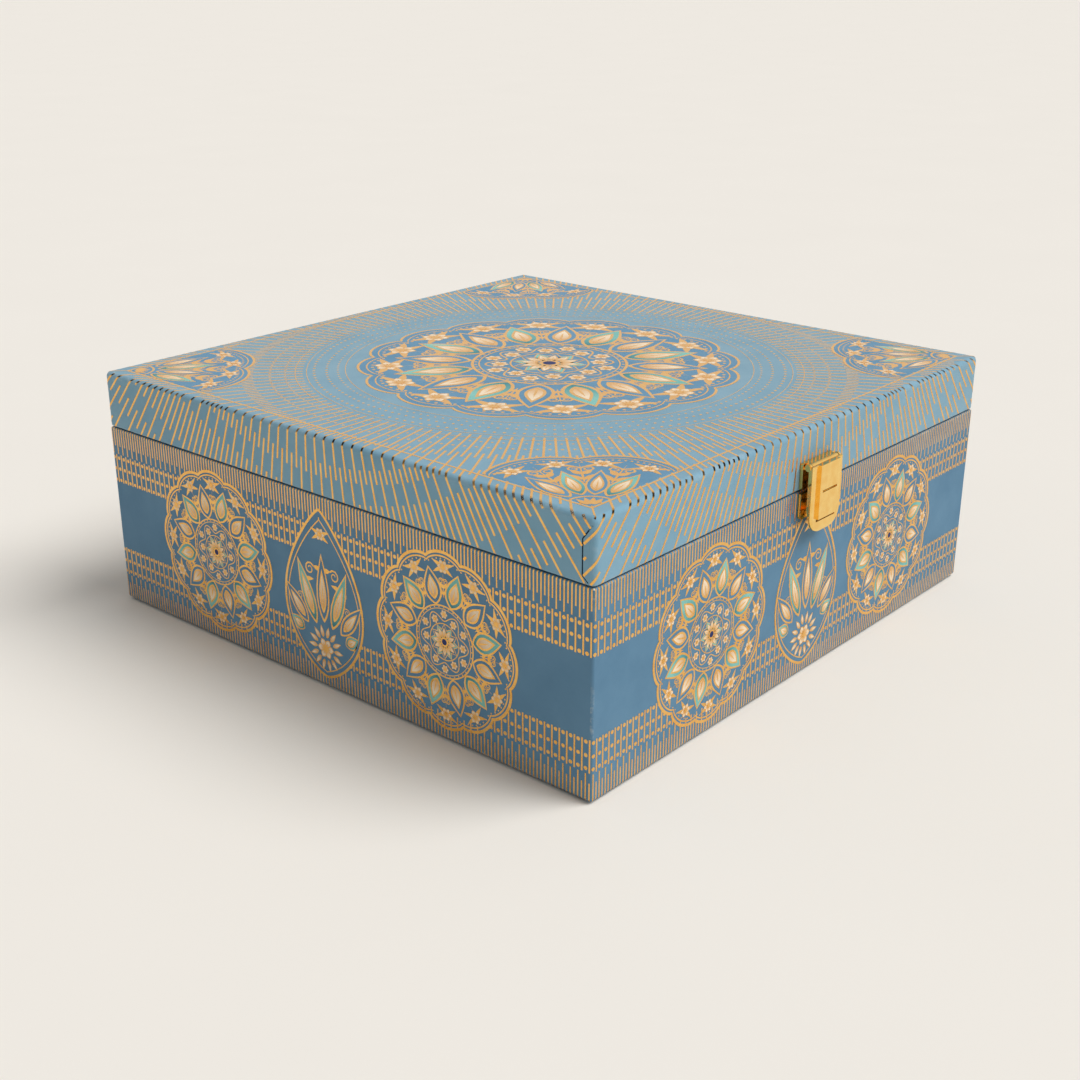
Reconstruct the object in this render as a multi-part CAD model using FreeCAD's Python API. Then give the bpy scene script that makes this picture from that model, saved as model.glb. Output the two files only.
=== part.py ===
import FreeCAD, Part
import math
import os

from FreeCAD import Vector

# A square gift box for sweets: a finger-jointed board tray and lid, each wrapped in
# printed paper and lined with card, joined by two butt hinges and closed by a cast clasp.
# Millimetres. +Z is up, the clasp faces -Y, and the origin is the middle of the underside.

# Overall sizes
WIDTH = 254.0              # left to right, outside the paper
DEPTH = 254.0              # clasp face to hinge face, outside the paper
BODY_HEIGHT = 76.2         # table to the tray's rim
LID_HEIGHT = 23.05         # the lid's lower edge to its top
RIM_GAP = 0.15             # between the rim and the closed lid

# Boards, papers and cards
WALL_BOARD = 4.0           # the tray's four walls
FLOOR_BOARD = 3.0
LID_BOARD = 4.0            # the lid's top panel
RIM_BOARD = 4.0            # the lid's four rim boards
PAPER = 0.4                # printed wrap
CARD = 1.0                 # lining
BASE_SHEET = 0.5           # backing paper under the tray
BASE_INSET = 3.0           # from the walls to the backing paper's edge
TRAY_FINGERS = 5           # fingers in each tray corner
LID_FINGERS = 3            # fingers in each lid corner
GLUE_LINE = 0.1            # play between two glued boards
WRAP_INSIDE = 14.0         # how far the tray's wrap turns down inside the rim
WRAP_UNDER = 16.0          # how far the tray's wrap turns in under the floor
LID_WRAP_INSIDE = 10.0     # how far the lid's wrap turns up inside its rims
LINING_FIT = 0.1           # play round a lining card
LINING_DROP = 2.5          # from a rim to the edge of its lining

# Rounded edges
TRAY_ROUND = 1.2           # the tray's upright and lower edges
LID_ROUND = 2.2            # the lid's upright and upper edges
RIM_ROUND = 0.9            # the two folds that meet where the lid closes

# Paper tab folded round each lid corner on to the side faces
TAB_WIDTH = 4.6            # from the corner to the tab's edge
TAB_TOP = 2.9              # from the lid's top to where the tab starts
TAB_UPPER_SLANT = 4.9      # height of the tab's upper slanted end
TAB_LOWER_SLANT = 3.1      # height of the tab's lower slanted end
TAB_SEAM = 0.6             # width of the open seam along the tab
TAB_CORNER = 0.9           # from the corner to where the seam begins

# Hinges
HINGE_SPACING = 140.0      # between the middles of the two hinges
HINGE_LENGTH = 30.0
HINGE_LEAF = 0.8           # leaf thickness
HINGE_LEAF_HEIGHT = 13.0   # from the hinge line to a leaf's far edge
HINGE_CORNER = 1.5         # rounded corners of a leaf
KNUCKLE_RADIUS = 1.8
KNUCKLE_MIDDLE = 10.0      # length of the lid leaf's knuckle
HINGE_PIN_RADIUS = 0.9
HINGE_PIN_ROUND = 0.4      # rounded ends of a pin
HINGE_STANDOFF = 0.3       # from the box's back to the knuckles
HINGE_PLAY = 0.25          # along the pin and beside the knuckles
HINGE_NAIL_SPACING = 19.0
HINGE_NAIL_DROP = 8.0      # from the hinge line to the nails

# Round-headed nails that hold the hinges and the clasp
NAIL_RADIUS = 0.65
NAIL_HEAD_RADIUS = 1.5
NAIL_HEAD_HEIGHT = 0.55
NAIL_COVER = 1.0           # board left beyond a nail's point
NAIL_FIT = 0.02            # play round a nail
PIN_FIT = 0.05             # running play round a pin

# Clasp, measured outwards from the front paper and up from the line where the lid closes
PLATE_WIDTH = 21.2
PLATE_THICKNESS = 1.2
PLATE_CORNER = 1.2         # rounded corners of both plates
PLATE_CLEAR = 0.9          # from the closing line to either plate
LID_PLATE_HEIGHT = 9.8     # its top is level with the lug's
CATCH_PLATE_HEIGHT = 9.7
CLASP_AXIS_UP = 9.4        # pin above the closing line
CLASP_AXIS_OUT = 2.9       # pin in front of the paper
CLASP_PIN_RADIUS = 0.8
CLASP_PIN_HEAD = 1.15      # radius of the riveted ends
CLASP_RIVET = 0.35         # how far the riveted ends stand out
LUG_RADIUS = 1.3           # round end of the lug that carries the pin
LUG_PLAY = 0.3             # beside the lug and inside the face
FLAP_WIDTH = 20.2
FLAP_DROP = 16.0           # lower end of the flap below the closing line
FLAP_RISE = 0.7            # top of the face above the pin
FLAP_CORNER = 7.0          # rounded lower corners
FLAP_WALL = 1.0            # side walls
FLAP_FACE = 0.9            # face
FLAP_BACK = 3.3            # back edge of the side walls
FLAP_EAR_RADIUS = 1.4      # round upper end of each side wall
FLAP_EDGE_ROUND = 0.75     # rounded front edge of the face
PANEL_SIDE = 3.65          # from the face's sides to the raised panel
PANEL_FOOT = 5.5           # from the face's lower end to the raised panel
PANEL_RISE = 1.1
PANEL_SLOPE = 0.15         # bevel round the raised panel
PANEL_LINE = 0.8           # width of the line cut across the panel, level with the closing line
LINE_DEPTH = 0.6
FOOT_GROOVE = 1.2          # width of the groove along the panel's foot
GROOVE_DEPTH = 0.45
PANEL_LINE_SIDE = 1.55     # from the panel's sides to the line's ends
LIP_WIDTH = 11.0           # lip across the foot of the catch plate
LIP_TIP = 0.8              # height of the lip's blunt tip
LIP_SLOPE = 3.7            # height of the slope above the tip
LIP_GAP = 0.6              # from the lip's tip to the inside of the flap's face
BEAD_PLAY = 0.08           # between the tip and the bead that springs on to it
END_PLAY = 0.3             # between the tip and the flap's thin lower end
END_TAPER = 4.0            # height over which the side walls run out above that end
CLASP_NAIL_SPACING = 12.0
CLASP_NAIL_DROP = 4.4      # from the closing line to the nails of either plate

# Places worked out from the sizes above
TINY = 1e-6
BEYOND = 5.0               # how far a cutting shape passes what it cuts
BOARD_LOW = BASE_SHEET + PAPER
BOARD_HIGH = BODY_HEIGHT - PAPER
INNER_WIDTH = WIDTH - 2 * (PAPER + WALL_BOARD)
INNER_DEPTH = DEPTH - 2 * (PAPER + WALL_BOARD)
FLOOR_TOP = BOARD_LOW + FLOOR_BOARD
LID_LOW = BODY_HEIGHT + RIM_GAP
LID_TOP = LID_LOW + LID_HEIGHT
PANEL_LOW = LID_TOP - PAPER - LID_BOARD
LID_INNER_WIDTH = WIDTH - 2 * (PAPER + RIM_BOARD)
LID_INNER_DEPTH = DEPTH - 2 * (PAPER + RIM_BOARD)
FRONT = -DEPTH / 2
BACK = DEPTH / 2
CLOSING_LINE = BODY_HEIGHT + RIM_GAP / 2
HINGE_Y = BACK + KNUCKLE_RADIUS + HINGE_STANDOFF
CLASP_AXIS_Z = CLOSING_LINE + CLASP_AXIS_UP
CLASP_AXIS_Y = FRONT - CLASP_AXIS_OUT
FACE_BACK = CLASP_AXIS_OUT + LUG_RADIUS + LUG_PLAY
FACE_FRONT = FACE_BACK + FLAP_FACE
FLAP_LOW = CLOSING_LINE - FLAP_DROP
FLAP_TOP = CLASP_AXIS_Z + FLAP_RISE
CATCH_LOW = CLOSING_LINE - PLATE_CLEAR - CATCH_PLATE_HEIGHT
LIP_OUT = FACE_BACK - LIP_GAP


def span(x, y, z):
    """A block between the two ends given for each axis."""
    (x0, x1), (y0, y1), (z0, z1) = sorted(x), sorted(y), sorted(z)
    return Part.makeBox(x1 - x0, y1 - y0, z1 - z0, Vector(x0, y0, z0))


def centred(width, depth, low, high):
    """A block centred on the Z axis."""
    return span((-width / 2, width / 2), (-depth / 2, depth / 2), (low, high))


def at_level(edge, level):
    """True if the whole edge lies at one height."""
    return all(abs(v.Z - level) < TINY for v in edge.Vertexes)


def rounded_block(width, depth, low, high, edge_round, rim_round, rim_level):
    """A centred block with every edge rounded, those round its open rim by a radius of their own."""
    block = centred(width, depth, low, high)
    block = block.makeFillet(edge_round, [e for e in block.Edges if not at_level(e, rim_level)])
    return block.makeFillet(rim_round, [e for e in block.Edges if at_level(e, rim_level)])


def x_cylinder(radius, x, y, z):
    """A cylinder along X between the two ends in x."""
    x0, x1 = sorted(x)
    return Part.makeCylinder(radius, x1 - x0, Vector(x0, y, z), Vector(1, 0, 0))


def upright_plate(outline, inner_y, outer_y):
    """A flat plate in the XZ plane from an outline, between two depths."""
    face = Part.Face(outline)
    face.translate(Vector(0, inner_y, 0))
    return face.extrude(Vector(0, outer_y - inner_y, 0))


def rounded_outline(x, z, low_round, high_round):
    """A rectangle in the XZ plane, its lower and upper corners rounded by their own radii, or by 0."""
    (x0, x1), (z0, z1) = sorted(x), sorted(z)
    right = Vector(1, 0, 0)
    up = Vector(0, 0, 1)
    corners = [
        (Vector(x1, 0, z0), low_round, right, up),
        (Vector(x1, 0, z1), high_round, up, -right),
        (Vector(x0, 0, z1), high_round, -right, -up),
        (Vector(x0, 0, z0), low_round, -up, right),
    ]
    starts = [corner - way_in * radius for corner, radius, way_in, way_out in corners]
    ends = [corner + way_out * radius for corner, radius, way_in, way_out in corners]
    edges = []
    for k, (corner, radius, way_in, way_out) in enumerate(corners):
        if radius > 0:
            middle = corner + (way_out - way_in) * radius * (1 - math.sqrt(0.5))
            edges.append(Part.Arc(starts[k], middle, ends[k]).toShape())
        edges.append(Part.LineSegment(ends[k], starts[(k + 1) % len(corners)]).toShape())
    return Part.Wire(edges)


# Finger-jointed frames

def frame_boards(core, inner_width, inner_depth, low, high, fingers):
    """Cuts a hollow frame into four boards whose corners interlock in turn, with a glue line between."""
    walls = core.cut(centred(inner_width, inner_depth, low - BEYOND, high + BEYOND))
    step = (high - low) / fingers
    reach = max(WIDTH, DEPTH)
    boards = {}
    sides = [("front", True, -1), ("back", True, 1), ("left", False, -1), ("right", False, 1)]
    for name, along_x, side in sides:
        inner = inner_depth / 2 if along_x else inner_width / 2
        ends = inner_width / 2 if along_x else inner_depth / 2
        across = (side * inner, side * reach)
        region = span((-reach, reach), across, (low - BEYOND, high + BEYOND))
        for k in range(1 if along_x else 0, fingers, 2):
            z = (low + k * step - GLUE_LINE / 2, low + (k + 1) * step + GLUE_LINE / 2)
            for end in (-1, 1):
                region = region.cut(span((end * (ends - GLUE_LINE), end * reach), across, z))
        if not along_x:
            region.rotate(Vector(), Vector(0, 0, 1), -90)
        boards[name] = walls.common(region)
    return boards


def wrap_shell(outer, core, mouth_width, mouth_depth, rim_level, turned_to):
    """The paper round a core, open at the rim and turned over it to lie inside the boards."""
    low, high = sorted((rim_level, turned_to))
    mouth = centred(mouth_width - 2 * PAPER, mouth_depth - 2 * PAPER, low - BEYOND, high + BEYOND)
    inside = centred(mouth_width, mouth_depth, low, high).common(outer)
    return outer.cut(core).fuse(inside).cut(mouth)


# Nails

def nail(x, z, face_y, outward, bite):
    """A round-headed nail whose head sits on a face at face_y; outward is -1 or 1 along Y."""
    dome = (NAIL_HEAD_RADIUS ** 2 + NAIL_HEAD_HEIGHT ** 2) / (2 * NAIL_HEAD_HEIGHT)
    ball = Part.makeSphere(dome, Vector(x, face_y + outward * (NAIL_HEAD_HEIGHT - dome), z))
    reach = NAIL_HEAD_RADIUS + BEYOND
    in_front = span((x - reach, x + reach), (face_y, face_y + outward * reach), (z - reach, z + reach))
    shank = Part.makeCylinder(NAIL_RADIUS, bite, Vector(x, face_y, z), Vector(0, -outward, 0))
    return ball.common(in_front).fuse(shank).removeSplitter()


def nail_hole(x, z, face_y, outward, bite):
    """The hole that a nail fills."""
    start = Vector(x, face_y + outward * BEYOND, z)
    length = BEYOND + bite + NAIL_FIT
    return Part.makeCylinder(NAIL_RADIUS + NAIL_FIT, length, start, Vector(0, -outward, 0))


def drill(shape, holes):
    """The shape with every hole cut out of it."""
    for hole in holes:
        shape = shape.cut(hole)
    return shape


def nail_row(places, height, face_y, outward, plate, board):
    """Nails at each place along X, and their holes, through a plate and the paper and into a board."""
    bite = plate + PAPER + board - NAIL_COVER
    nails = [nail(x, height, face_y, outward, bite) for x in places]
    holes = [nail_hole(x, height, face_y, outward, bite) for x in places]
    return nails, holes


HINGE_MIDDLES = {"left": -HINGE_SPACING / 2, "right": HINGE_SPACING / 2}
HINGE_NAIL_X = [m + s * HINGE_NAIL_SPACING / 2 for m in HINGE_MIDDLES.values() for s in (-1, 1)]
CLASP_NAIL_X = [s * CLASP_NAIL_SPACING / 2 for s in (-1, 1)]

tray_hinge_nails, tray_hinge_holes = nail_row(
    HINGE_NAIL_X, CLOSING_LINE - HINGE_NAIL_DROP, BACK + HINGE_LEAF, 1, HINGE_LEAF, WALL_BOARD)
lid_hinge_nails, lid_hinge_holes = nail_row(
    HINGE_NAIL_X, CLOSING_LINE + HINGE_NAIL_DROP, BACK + HINGE_LEAF, 1, HINGE_LEAF, RIM_BOARD)
catch_nails, catch_holes = nail_row(
    CLASP_NAIL_X, CLOSING_LINE - CLASP_NAIL_DROP, FRONT - PLATE_THICKNESS, -1, PLATE_THICKNESS, WALL_BOARD)
clasp_nails, clasp_holes = nail_row(
    CLASP_NAIL_X, CLOSING_LINE + CLASP_NAIL_DROP, FRONT - PLATE_THICKNESS, -1, PLATE_THICKNESS, RIM_BOARD)


# Tray

def tray_pieces():
    """Boards, printed wrap, backing paper and lining of the lower half."""
    outer = rounded_block(WIDTH, DEPTH, BASE_SHEET, BODY_HEIGHT, TRAY_ROUND, RIM_ROUND, BODY_HEIGHT)
    core = rounded_block(WIDTH - 2 * PAPER, DEPTH - 2 * PAPER, BOARD_LOW, BOARD_HIGH,
                         TRAY_ROUND - PAPER, RIM_ROUND - PAPER, BOARD_HIGH)
    boards = frame_boards(core, INNER_WIDTH, INNER_DEPTH, BOARD_LOW, BOARD_HIGH, TRAY_FINGERS)
    pieces = {f"{side}_wall_board": board for side, board in boards.items()}
    pieces["back_wall_board"] = drill(pieces["back_wall_board"], tray_hinge_holes)
    pieces["front_wall_board"] = drill(pieces["front_wall_board"], catch_holes)
    pieces["floor_board"] = centred(
        INNER_WIDTH - 2 * GLUE_LINE, INNER_DEPTH - 2 * GLUE_LINE, BOARD_LOW, FLOOR_TOP)

    wrap = wrap_shell(outer, core, INNER_WIDTH, INNER_DEPTH, BODY_HEIGHT, BODY_HEIGHT - WRAP_INSIDE)
    window_width = WIDTH - 2 * WRAP_UNDER
    window_depth = DEPTH - 2 * WRAP_UNDER
    wrap = wrap.cut(centred(window_width, window_depth, -BEYOND, BOARD_LOW + TINY))
    pieces["tray_wrap"] = drill(wrap, tray_hinge_holes + catch_holes)

    sheet = centred(WIDTH - 2 * BASE_INSET, DEPTH - 2 * BASE_INSET, 0, BASE_SHEET)
    dip = centred(window_width - 2 * LINING_FIT, window_depth - 2 * LINING_FIT, BASE_SHEET, BOARD_LOW)
    pieces["base_sheet"] = sheet.fuse(dip)

    pieces["floor_lining"] = centred(
        INNER_WIDTH - 2 * LINING_FIT, INNER_DEPTH - 2 * LINING_FIT, FLOOR_TOP, FLOOR_TOP + CARD)
    pieces["wall_lining"] = lining_ring(
        INNER_WIDTH, INNER_DEPTH, FLOOR_TOP + CARD, BODY_HEIGHT - LINING_DROP)
    return pieces


def lining_ring(inner_width, inner_depth, low, high):
    """A strip of card bent round the inside of four boards, over the turned-in paper."""
    width = inner_width - 2 * (PAPER + LINING_FIT)
    depth = inner_depth - 2 * (PAPER + LINING_FIT)
    return centred(width, depth, low, high).cut(
        centred(width - 2 * CARD, depth - 2 * CARD, low - BEYOND, high + BEYOND))


# Lid

def tab_seam(side, end):
    """The open seam round the paper tab at one lid corner, cut through the side face's paper."""
    top = LID_TOP - TAB_TOP
    inner = [(TAB_CORNER, top), (TAB_WIDTH, top - TAB_UPPER_SLANT),
             (TAB_WIDTH, LID_LOW + TAB_LOWER_SLANT), (TAB_CORNER, LID_LOW - TINY)]
    outer = [(TAB_CORNER, top + TAB_SEAM), (TAB_WIDTH + TAB_SEAM, top - TAB_UPPER_SLANT + TAB_SEAM / 2),
             (TAB_WIDTH + TAB_SEAM, LID_LOW + TAB_LOWER_SLANT - TAB_SEAM / 2),
             (TAB_CORNER + TAB_SEAM, LID_LOW - TINY)]
    outline = inner + outer[::-1]
    x = side * WIDTH / 2
    points = [Vector(x, end * (DEPTH / 2 - inset), z) for inset, z in outline]
    face = Part.Face(Part.makePolygon(points + points[:1]))
    depth = LID_ROUND - PAPER
    return face.extrude(Vector(-side * depth, 0, 0))


def lid_pieces():
    """Boards, printed wrap and lining of the upper half."""
    outer = rounded_block(WIDTH, DEPTH, LID_LOW, LID_TOP, LID_ROUND, RIM_ROUND, LID_LOW)
    core = rounded_block(WIDTH - 2 * PAPER, DEPTH - 2 * PAPER, LID_LOW + PAPER, LID_TOP - PAPER,
                         LID_ROUND - PAPER, RIM_ROUND - PAPER, LID_LOW + PAPER)
    above = centred(WIDTH, DEPTH, PANEL_LOW, LID_TOP)
    boards = frame_boards(
        core.cut(above), LID_INNER_WIDTH, LID_INNER_DEPTH, LID_LOW + PAPER, PANEL_LOW, LID_FINGERS)
    pieces = {f"lid_{side}_rim": board for side, board in boards.items()}
    pieces["lid_back_rim"] = drill(pieces["lid_back_rim"], lid_hinge_holes)
    pieces["lid_front_rim"] = drill(pieces["lid_front_rim"], clasp_holes)
    pieces["lid_panel"] = core.common(above)

    wrap = wrap_shell(outer, core, LID_INNER_WIDTH, LID_INNER_DEPTH, LID_LOW, LID_LOW + LID_WRAP_INSIDE)
    seams = [tab_seam(side, end) for side in (-1, 1) for end in (-1, 1)]
    pieces["lid_wrap"] = drill(wrap, lid_hinge_holes + clasp_holes + seams)

    pieces["lid_lining"] = centred(
        LID_INNER_WIDTH - 2 * LINING_FIT, LID_INNER_DEPTH - 2 * LINING_FIT, PANEL_LOW - CARD, PANEL_LOW)
    pieces["lid_rim_lining"] = lining_ring(
        LID_INNER_WIDTH, LID_INNER_DEPTH, LID_LOW + LINING_DROP, PANEL_LOW - CARD)
    return pieces


# Hinges

def hinge_leaf(middle, up, knuckles, holes):
    """One leaf on the box's back, up or down from the hinge line, with its own knuckles round the pin."""
    half = HINGE_LENGTH / 2
    near = CLOSING_LINE + up * (KNUCKLE_RADIUS + HINGE_PLAY)
    far = CLOSING_LINE + up * HINGE_LEAF_HEIGHT
    low_round, high_round = (0, HINGE_CORNER) if up > 0 else (HINGE_CORNER, 0)
    outline = rounded_outline((middle - half, middle + half), (near, far), low_round, high_round)
    leaf = upright_plate(outline, BACK, BACK + HINGE_LEAF)
    for x0, x1 in knuckles:
        leaf = leaf.fuse(span((x0, x1), (BACK, BACK + HINGE_LEAF), (CLOSING_LINE, near)))
        leaf = leaf.fuse(x_cylinder(KNUCKLE_RADIUS, (x0, x1), HINGE_Y, CLOSING_LINE))
    bore = x_cylinder(HINGE_PIN_RADIUS + PIN_FIT, (middle - half - BEYOND, middle + half + BEYOND),
                      HINGE_Y, CLOSING_LINE)
    return drill(leaf.removeSplitter(), [bore] + holes)


def hinge_pieces():
    """Two butt hinges: a tray leaf with two knuckles, a lid leaf with one between them, and the pin."""
    pieces = {}
    half = HINGE_LENGTH / 2
    inner = KNUCKLE_MIDDLE / 2
    for side, m in HINGE_MIDDLES.items():
        outer_knuckles = [(m - half, m - inner - HINGE_PLAY), (m + inner + HINGE_PLAY, m + half)]
        pieces[f"{side}_hinge_tray_leaf"] = hinge_leaf(m, -1, outer_knuckles, tray_hinge_holes)
        pieces[f"{side}_hinge_lid_leaf"] = hinge_leaf(m, 1, [(m - inner, m + inner)], lid_hinge_holes)
        pin = x_cylinder(HINGE_PIN_RADIUS, (m - half, m + half), HINGE_Y, CLOSING_LINE)
        pieces[f"{side}_hinge_pin"] = pin.makeFillet(
            HINGE_PIN_ROUND, [e for e in pin.Edges if isinstance(e.Curve, Part.Circle)])
    return pieces


# Clasp

def out(*distances):
    """Distances in front of the front paper, as places along Y."""
    return tuple(FRONT - d for d in distances)


def clasp_plate():
    """Cast plate on the lid's front, with a lug across its head that carries the flap's pin."""
    half = PLATE_WIDTH / 2
    low = CLOSING_LINE + PLATE_CLEAR
    outline = rounded_outline((-half, half), (low, low + LID_PLATE_HEIGHT), 0, PLATE_CORNER)
    plate = upright_plate(outline, *out(0, PLATE_THICKNESS))
    lug = FLAP_WIDTH / 2 - FLAP_WALL - LUG_PLAY
    lug_z = (CLASP_AXIS_Z - LUG_RADIUS, CLASP_AXIS_Z + LUG_RADIUS)
    shelf = span((-lug, lug), out(0, CLASP_AXIS_OUT), lug_z)
    barrel = x_cylinder(LUG_RADIUS, (-lug, lug), CLASP_AXIS_Y, CLASP_AXIS_Z)
    bore = x_cylinder(CLASP_PIN_RADIUS + PIN_FIT, (-half, half), CLASP_AXIS_Y, CLASP_AXIS_Z)
    return drill(plate.fuse(shelf).fuse(barrel).removeSplitter(), [bore] + clasp_holes)


def side_profile(points, half):
    """A solid across the clasp from an outline of (distance in front of the paper, height) points."""
    corners = [Vector(-half, FRONT - d, z) for d, z in points]
    return Part.Face(Part.makePolygon(corners + corners[:1])).extrude(Vector(2 * half, 0, 0))


def catch_plate():
    """Cast plate on the tray's front, with a lip across its foot that slopes up to the plate."""
    half = PLATE_WIDTH / 2
    outline = rounded_outline((-half, half), (CATCH_LOW, CATCH_LOW + CATCH_PLATE_HEIGHT), PLATE_CORNER, 0)
    plate = upright_plate(outline, *out(0, PLATE_THICKNESS))
    tip_high = CATCH_LOW + LIP_TIP
    outline = [(0, CATCH_LOW), (LIP_OUT, CATCH_LOW), (LIP_OUT, tip_high), (0, tip_high + LIP_SLOPE)]
    lip = side_profile(outline, LIP_WIDTH / 2)
    return drill(plate.fuse(lip).removeSplitter(), catch_holes)


def flap_outline(inset, top):
    """The flap's front outline, straight-sided with a rounded lower end, drawn in by an inset."""
    half = FLAP_WIDTH / 2 - inset
    return rounded_outline((-half, half), (FLAP_LOW + inset, top), FLAP_CORNER - inset, 0)


def edges_at(solid, y):
    """The edges of a solid that lie in the plane of that y."""
    return [e for e in solid.Edges if all(abs(v.Y - y) < TINY for v in e.Vertexes)]


def flap_shell():
    """A round-edged face with side walls, hollow behind, whose walls run out above a thin lower end."""
    shell = upright_plate(flap_outline(0, FLAP_TOP), *out(FLAP_BACK, FACE_FRONT))
    shell = shell.makeFillet(FLAP_EDGE_ROUND, edges_at(shell, out(FACE_FRONT)[0]))
    hollow = upright_plate(flap_outline(FLAP_WALL, FLAP_TOP + BEYOND), *out(FLAP_BACK - BEYOND, FACE_BACK))
    end_back = LIP_OUT + END_PLAY
    behind_end = side_profile(
        [(FLAP_BACK, CATCH_LOW + END_TAPER), (end_back, CATCH_LOW), (end_back, FLAP_LOW - BEYOND),
         (FLAP_BACK - BEYOND, FLAP_LOW - BEYOND), (FLAP_BACK - BEYOND, CATCH_LOW + END_TAPER)],
        FLAP_WIDTH)
    return shell.cut(hollow).cut(behind_end)


def clasp_flap():
    """The swinging flap: its shell with round ears for the pin, a raised panel, and a bead that grips."""
    half = FLAP_WIDTH / 2
    inner = half - FLAP_WALL
    above_pin = span((-half, half), out(FLAP_BACK - BEYOND, FACE_BACK), (CLASP_AXIS_Z, FLAP_TOP + BEYOND))
    between = span((-inner, inner), out(0, FACE_BACK + BEYOND), (FLAP_LOW, LID_TOP))
    ears = x_cylinder(FLAP_EAR_RADIUS, (-half, half), CLASP_AXIS_Y, CLASP_AXIS_Z).cut(between)
    flap = flap_shell().cut(above_pin).fuse(ears)

    bead = x_cylinder(LIP_GAP - BEAD_PLAY, (-LIP_WIDTH / 2, LIP_WIDTH / 2), out(FACE_BACK)[0],
                      CATCH_LOW + LIP_TIP / 2)
    panel_half = half - PANEL_SIDE
    panel_front = FACE_FRONT + PANEL_RISE
    panel_low = FLAP_LOW + PANEL_FOOT
    panel = span((-panel_half, panel_half), out(FACE_BACK, panel_front), (panel_low, FLAP_TOP))
    panel = panel.makeChamfer(PANEL_SLOPE, edges_at(panel, out(panel_front)[0]))
    line_half = panel_half - PANEL_LINE_SIDE
    line_z = (CLOSING_LINE - PANEL_LINE / 2, CLOSING_LINE + PANEL_LINE / 2)
    line = span((-line_half, line_half), out(panel_front - LINE_DEPTH, panel_front + BEYOND), line_z)
    groove = span((-panel_half, panel_half), out(FACE_FRONT - GROOVE_DEPTH, FACE_FRONT + BEYOND),
                  (panel_low - FOOT_GROOVE, panel_low))
    hole = x_cylinder(CLASP_PIN_RADIUS + NAIL_FIT, (-half, half), CLASP_AXIS_Y, CLASP_AXIS_Z)
    return drill(flap.fuse(bead).fuse(panel).removeSplitter(), [line, groove, hole])


def clasp_pin():
    """The flap's pin, riveted over outside both ears."""
    half = FLAP_WIDTH / 2
    pin = x_cylinder(CLASP_PIN_RADIUS, (-half, half), CLASP_AXIS_Y, CLASP_AXIS_Z)
    for end in (-1, 1):
        rivet = (end * half, end * (half + CLASP_RIVET))
        pin = pin.fuse(x_cylinder(CLASP_PIN_HEAD, rivet, CLASP_AXIS_Y, CLASP_AXIS_Z))
    return pin.removeSplitter()


def main():
    """Builds every piece and writes one file for each."""
    pieces = {**tray_pieces(), **lid_pieces(), **hinge_pieces()}
    pieces["clasp_plate"] = clasp_plate()
    pieces["catch_plate"] = catch_plate()
    pieces["clasp_flap"] = clasp_flap()
    pieces["clasp_pin"] = clasp_pin()
    pieces["tray_hinge_nails"] = Part.makeCompound(tray_hinge_nails)
    pieces["lid_hinge_nails"] = Part.makeCompound(lid_hinge_nails)
    pieces["clasp_plate_nails"] = Part.makeCompound(clasp_nails)
    pieces["catch_plate_nails"] = Part.makeCompound(catch_nails)
    os.makedirs("parts", exist_ok=True)
    for name, shape in pieces.items():
        print(f"{name}: {len(shape.Solids)} solid(s), {len(shape.Faces)} faces, {shape.Volume:.1f} mm3, "
              f"valid {shape.isValid()}")
        shape.exportStep(f"parts/{name}.step")


main()
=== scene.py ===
# %% [markdown]
# # A sweet box: printed paper, gold lines and a small gilt clasp
# The box is a board tray and a hinged lid, each wrapped in blue paper with gold print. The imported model
# already holds every board, card, hinge and clasp part at its true size, in metres, with the clasp at -Y.
# This lesson keeps those solids, swaps the two plain wraps for folded paper, and lays the print on them.

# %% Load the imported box
import math

import bpy
import numpy as np
from mathutils import Matrix, Vector


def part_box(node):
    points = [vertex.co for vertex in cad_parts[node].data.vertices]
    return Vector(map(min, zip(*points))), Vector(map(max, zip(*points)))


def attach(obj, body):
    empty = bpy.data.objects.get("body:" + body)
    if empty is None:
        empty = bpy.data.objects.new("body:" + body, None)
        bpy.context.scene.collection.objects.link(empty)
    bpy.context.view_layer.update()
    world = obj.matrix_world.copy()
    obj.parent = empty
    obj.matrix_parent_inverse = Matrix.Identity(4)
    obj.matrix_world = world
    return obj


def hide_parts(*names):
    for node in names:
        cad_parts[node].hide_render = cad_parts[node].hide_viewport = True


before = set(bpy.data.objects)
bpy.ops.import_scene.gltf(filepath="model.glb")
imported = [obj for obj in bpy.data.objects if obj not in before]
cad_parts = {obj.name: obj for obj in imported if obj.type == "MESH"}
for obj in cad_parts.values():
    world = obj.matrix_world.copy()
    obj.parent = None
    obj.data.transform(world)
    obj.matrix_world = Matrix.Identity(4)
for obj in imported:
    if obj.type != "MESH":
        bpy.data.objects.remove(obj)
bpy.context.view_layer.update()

MM = 0.001

# %% [markdown]
# ## The sizes that the paper follows
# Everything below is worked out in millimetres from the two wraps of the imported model, so the looks move
# with the model. The print needs room, so the paper's face lies a little inside the wraps' own face, and
# each layer of print is lifted from it by a few hundredths of a millimetre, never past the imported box.

# %% Sizes read from the frame
tray_low, tray_high = (np.array(corner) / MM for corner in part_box("tray_wrap"))
lid_low, lid_high = (np.array(corner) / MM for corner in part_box("lid_wrap"))
HALF = lid_high[0]                       # from the middle to an outer face
TRAY_BASE, TRAY_RIM = tray_low[2], tray_high[2]
LID_RIM, LID_TOP = lid_low[2], lid_high[2]

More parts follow.
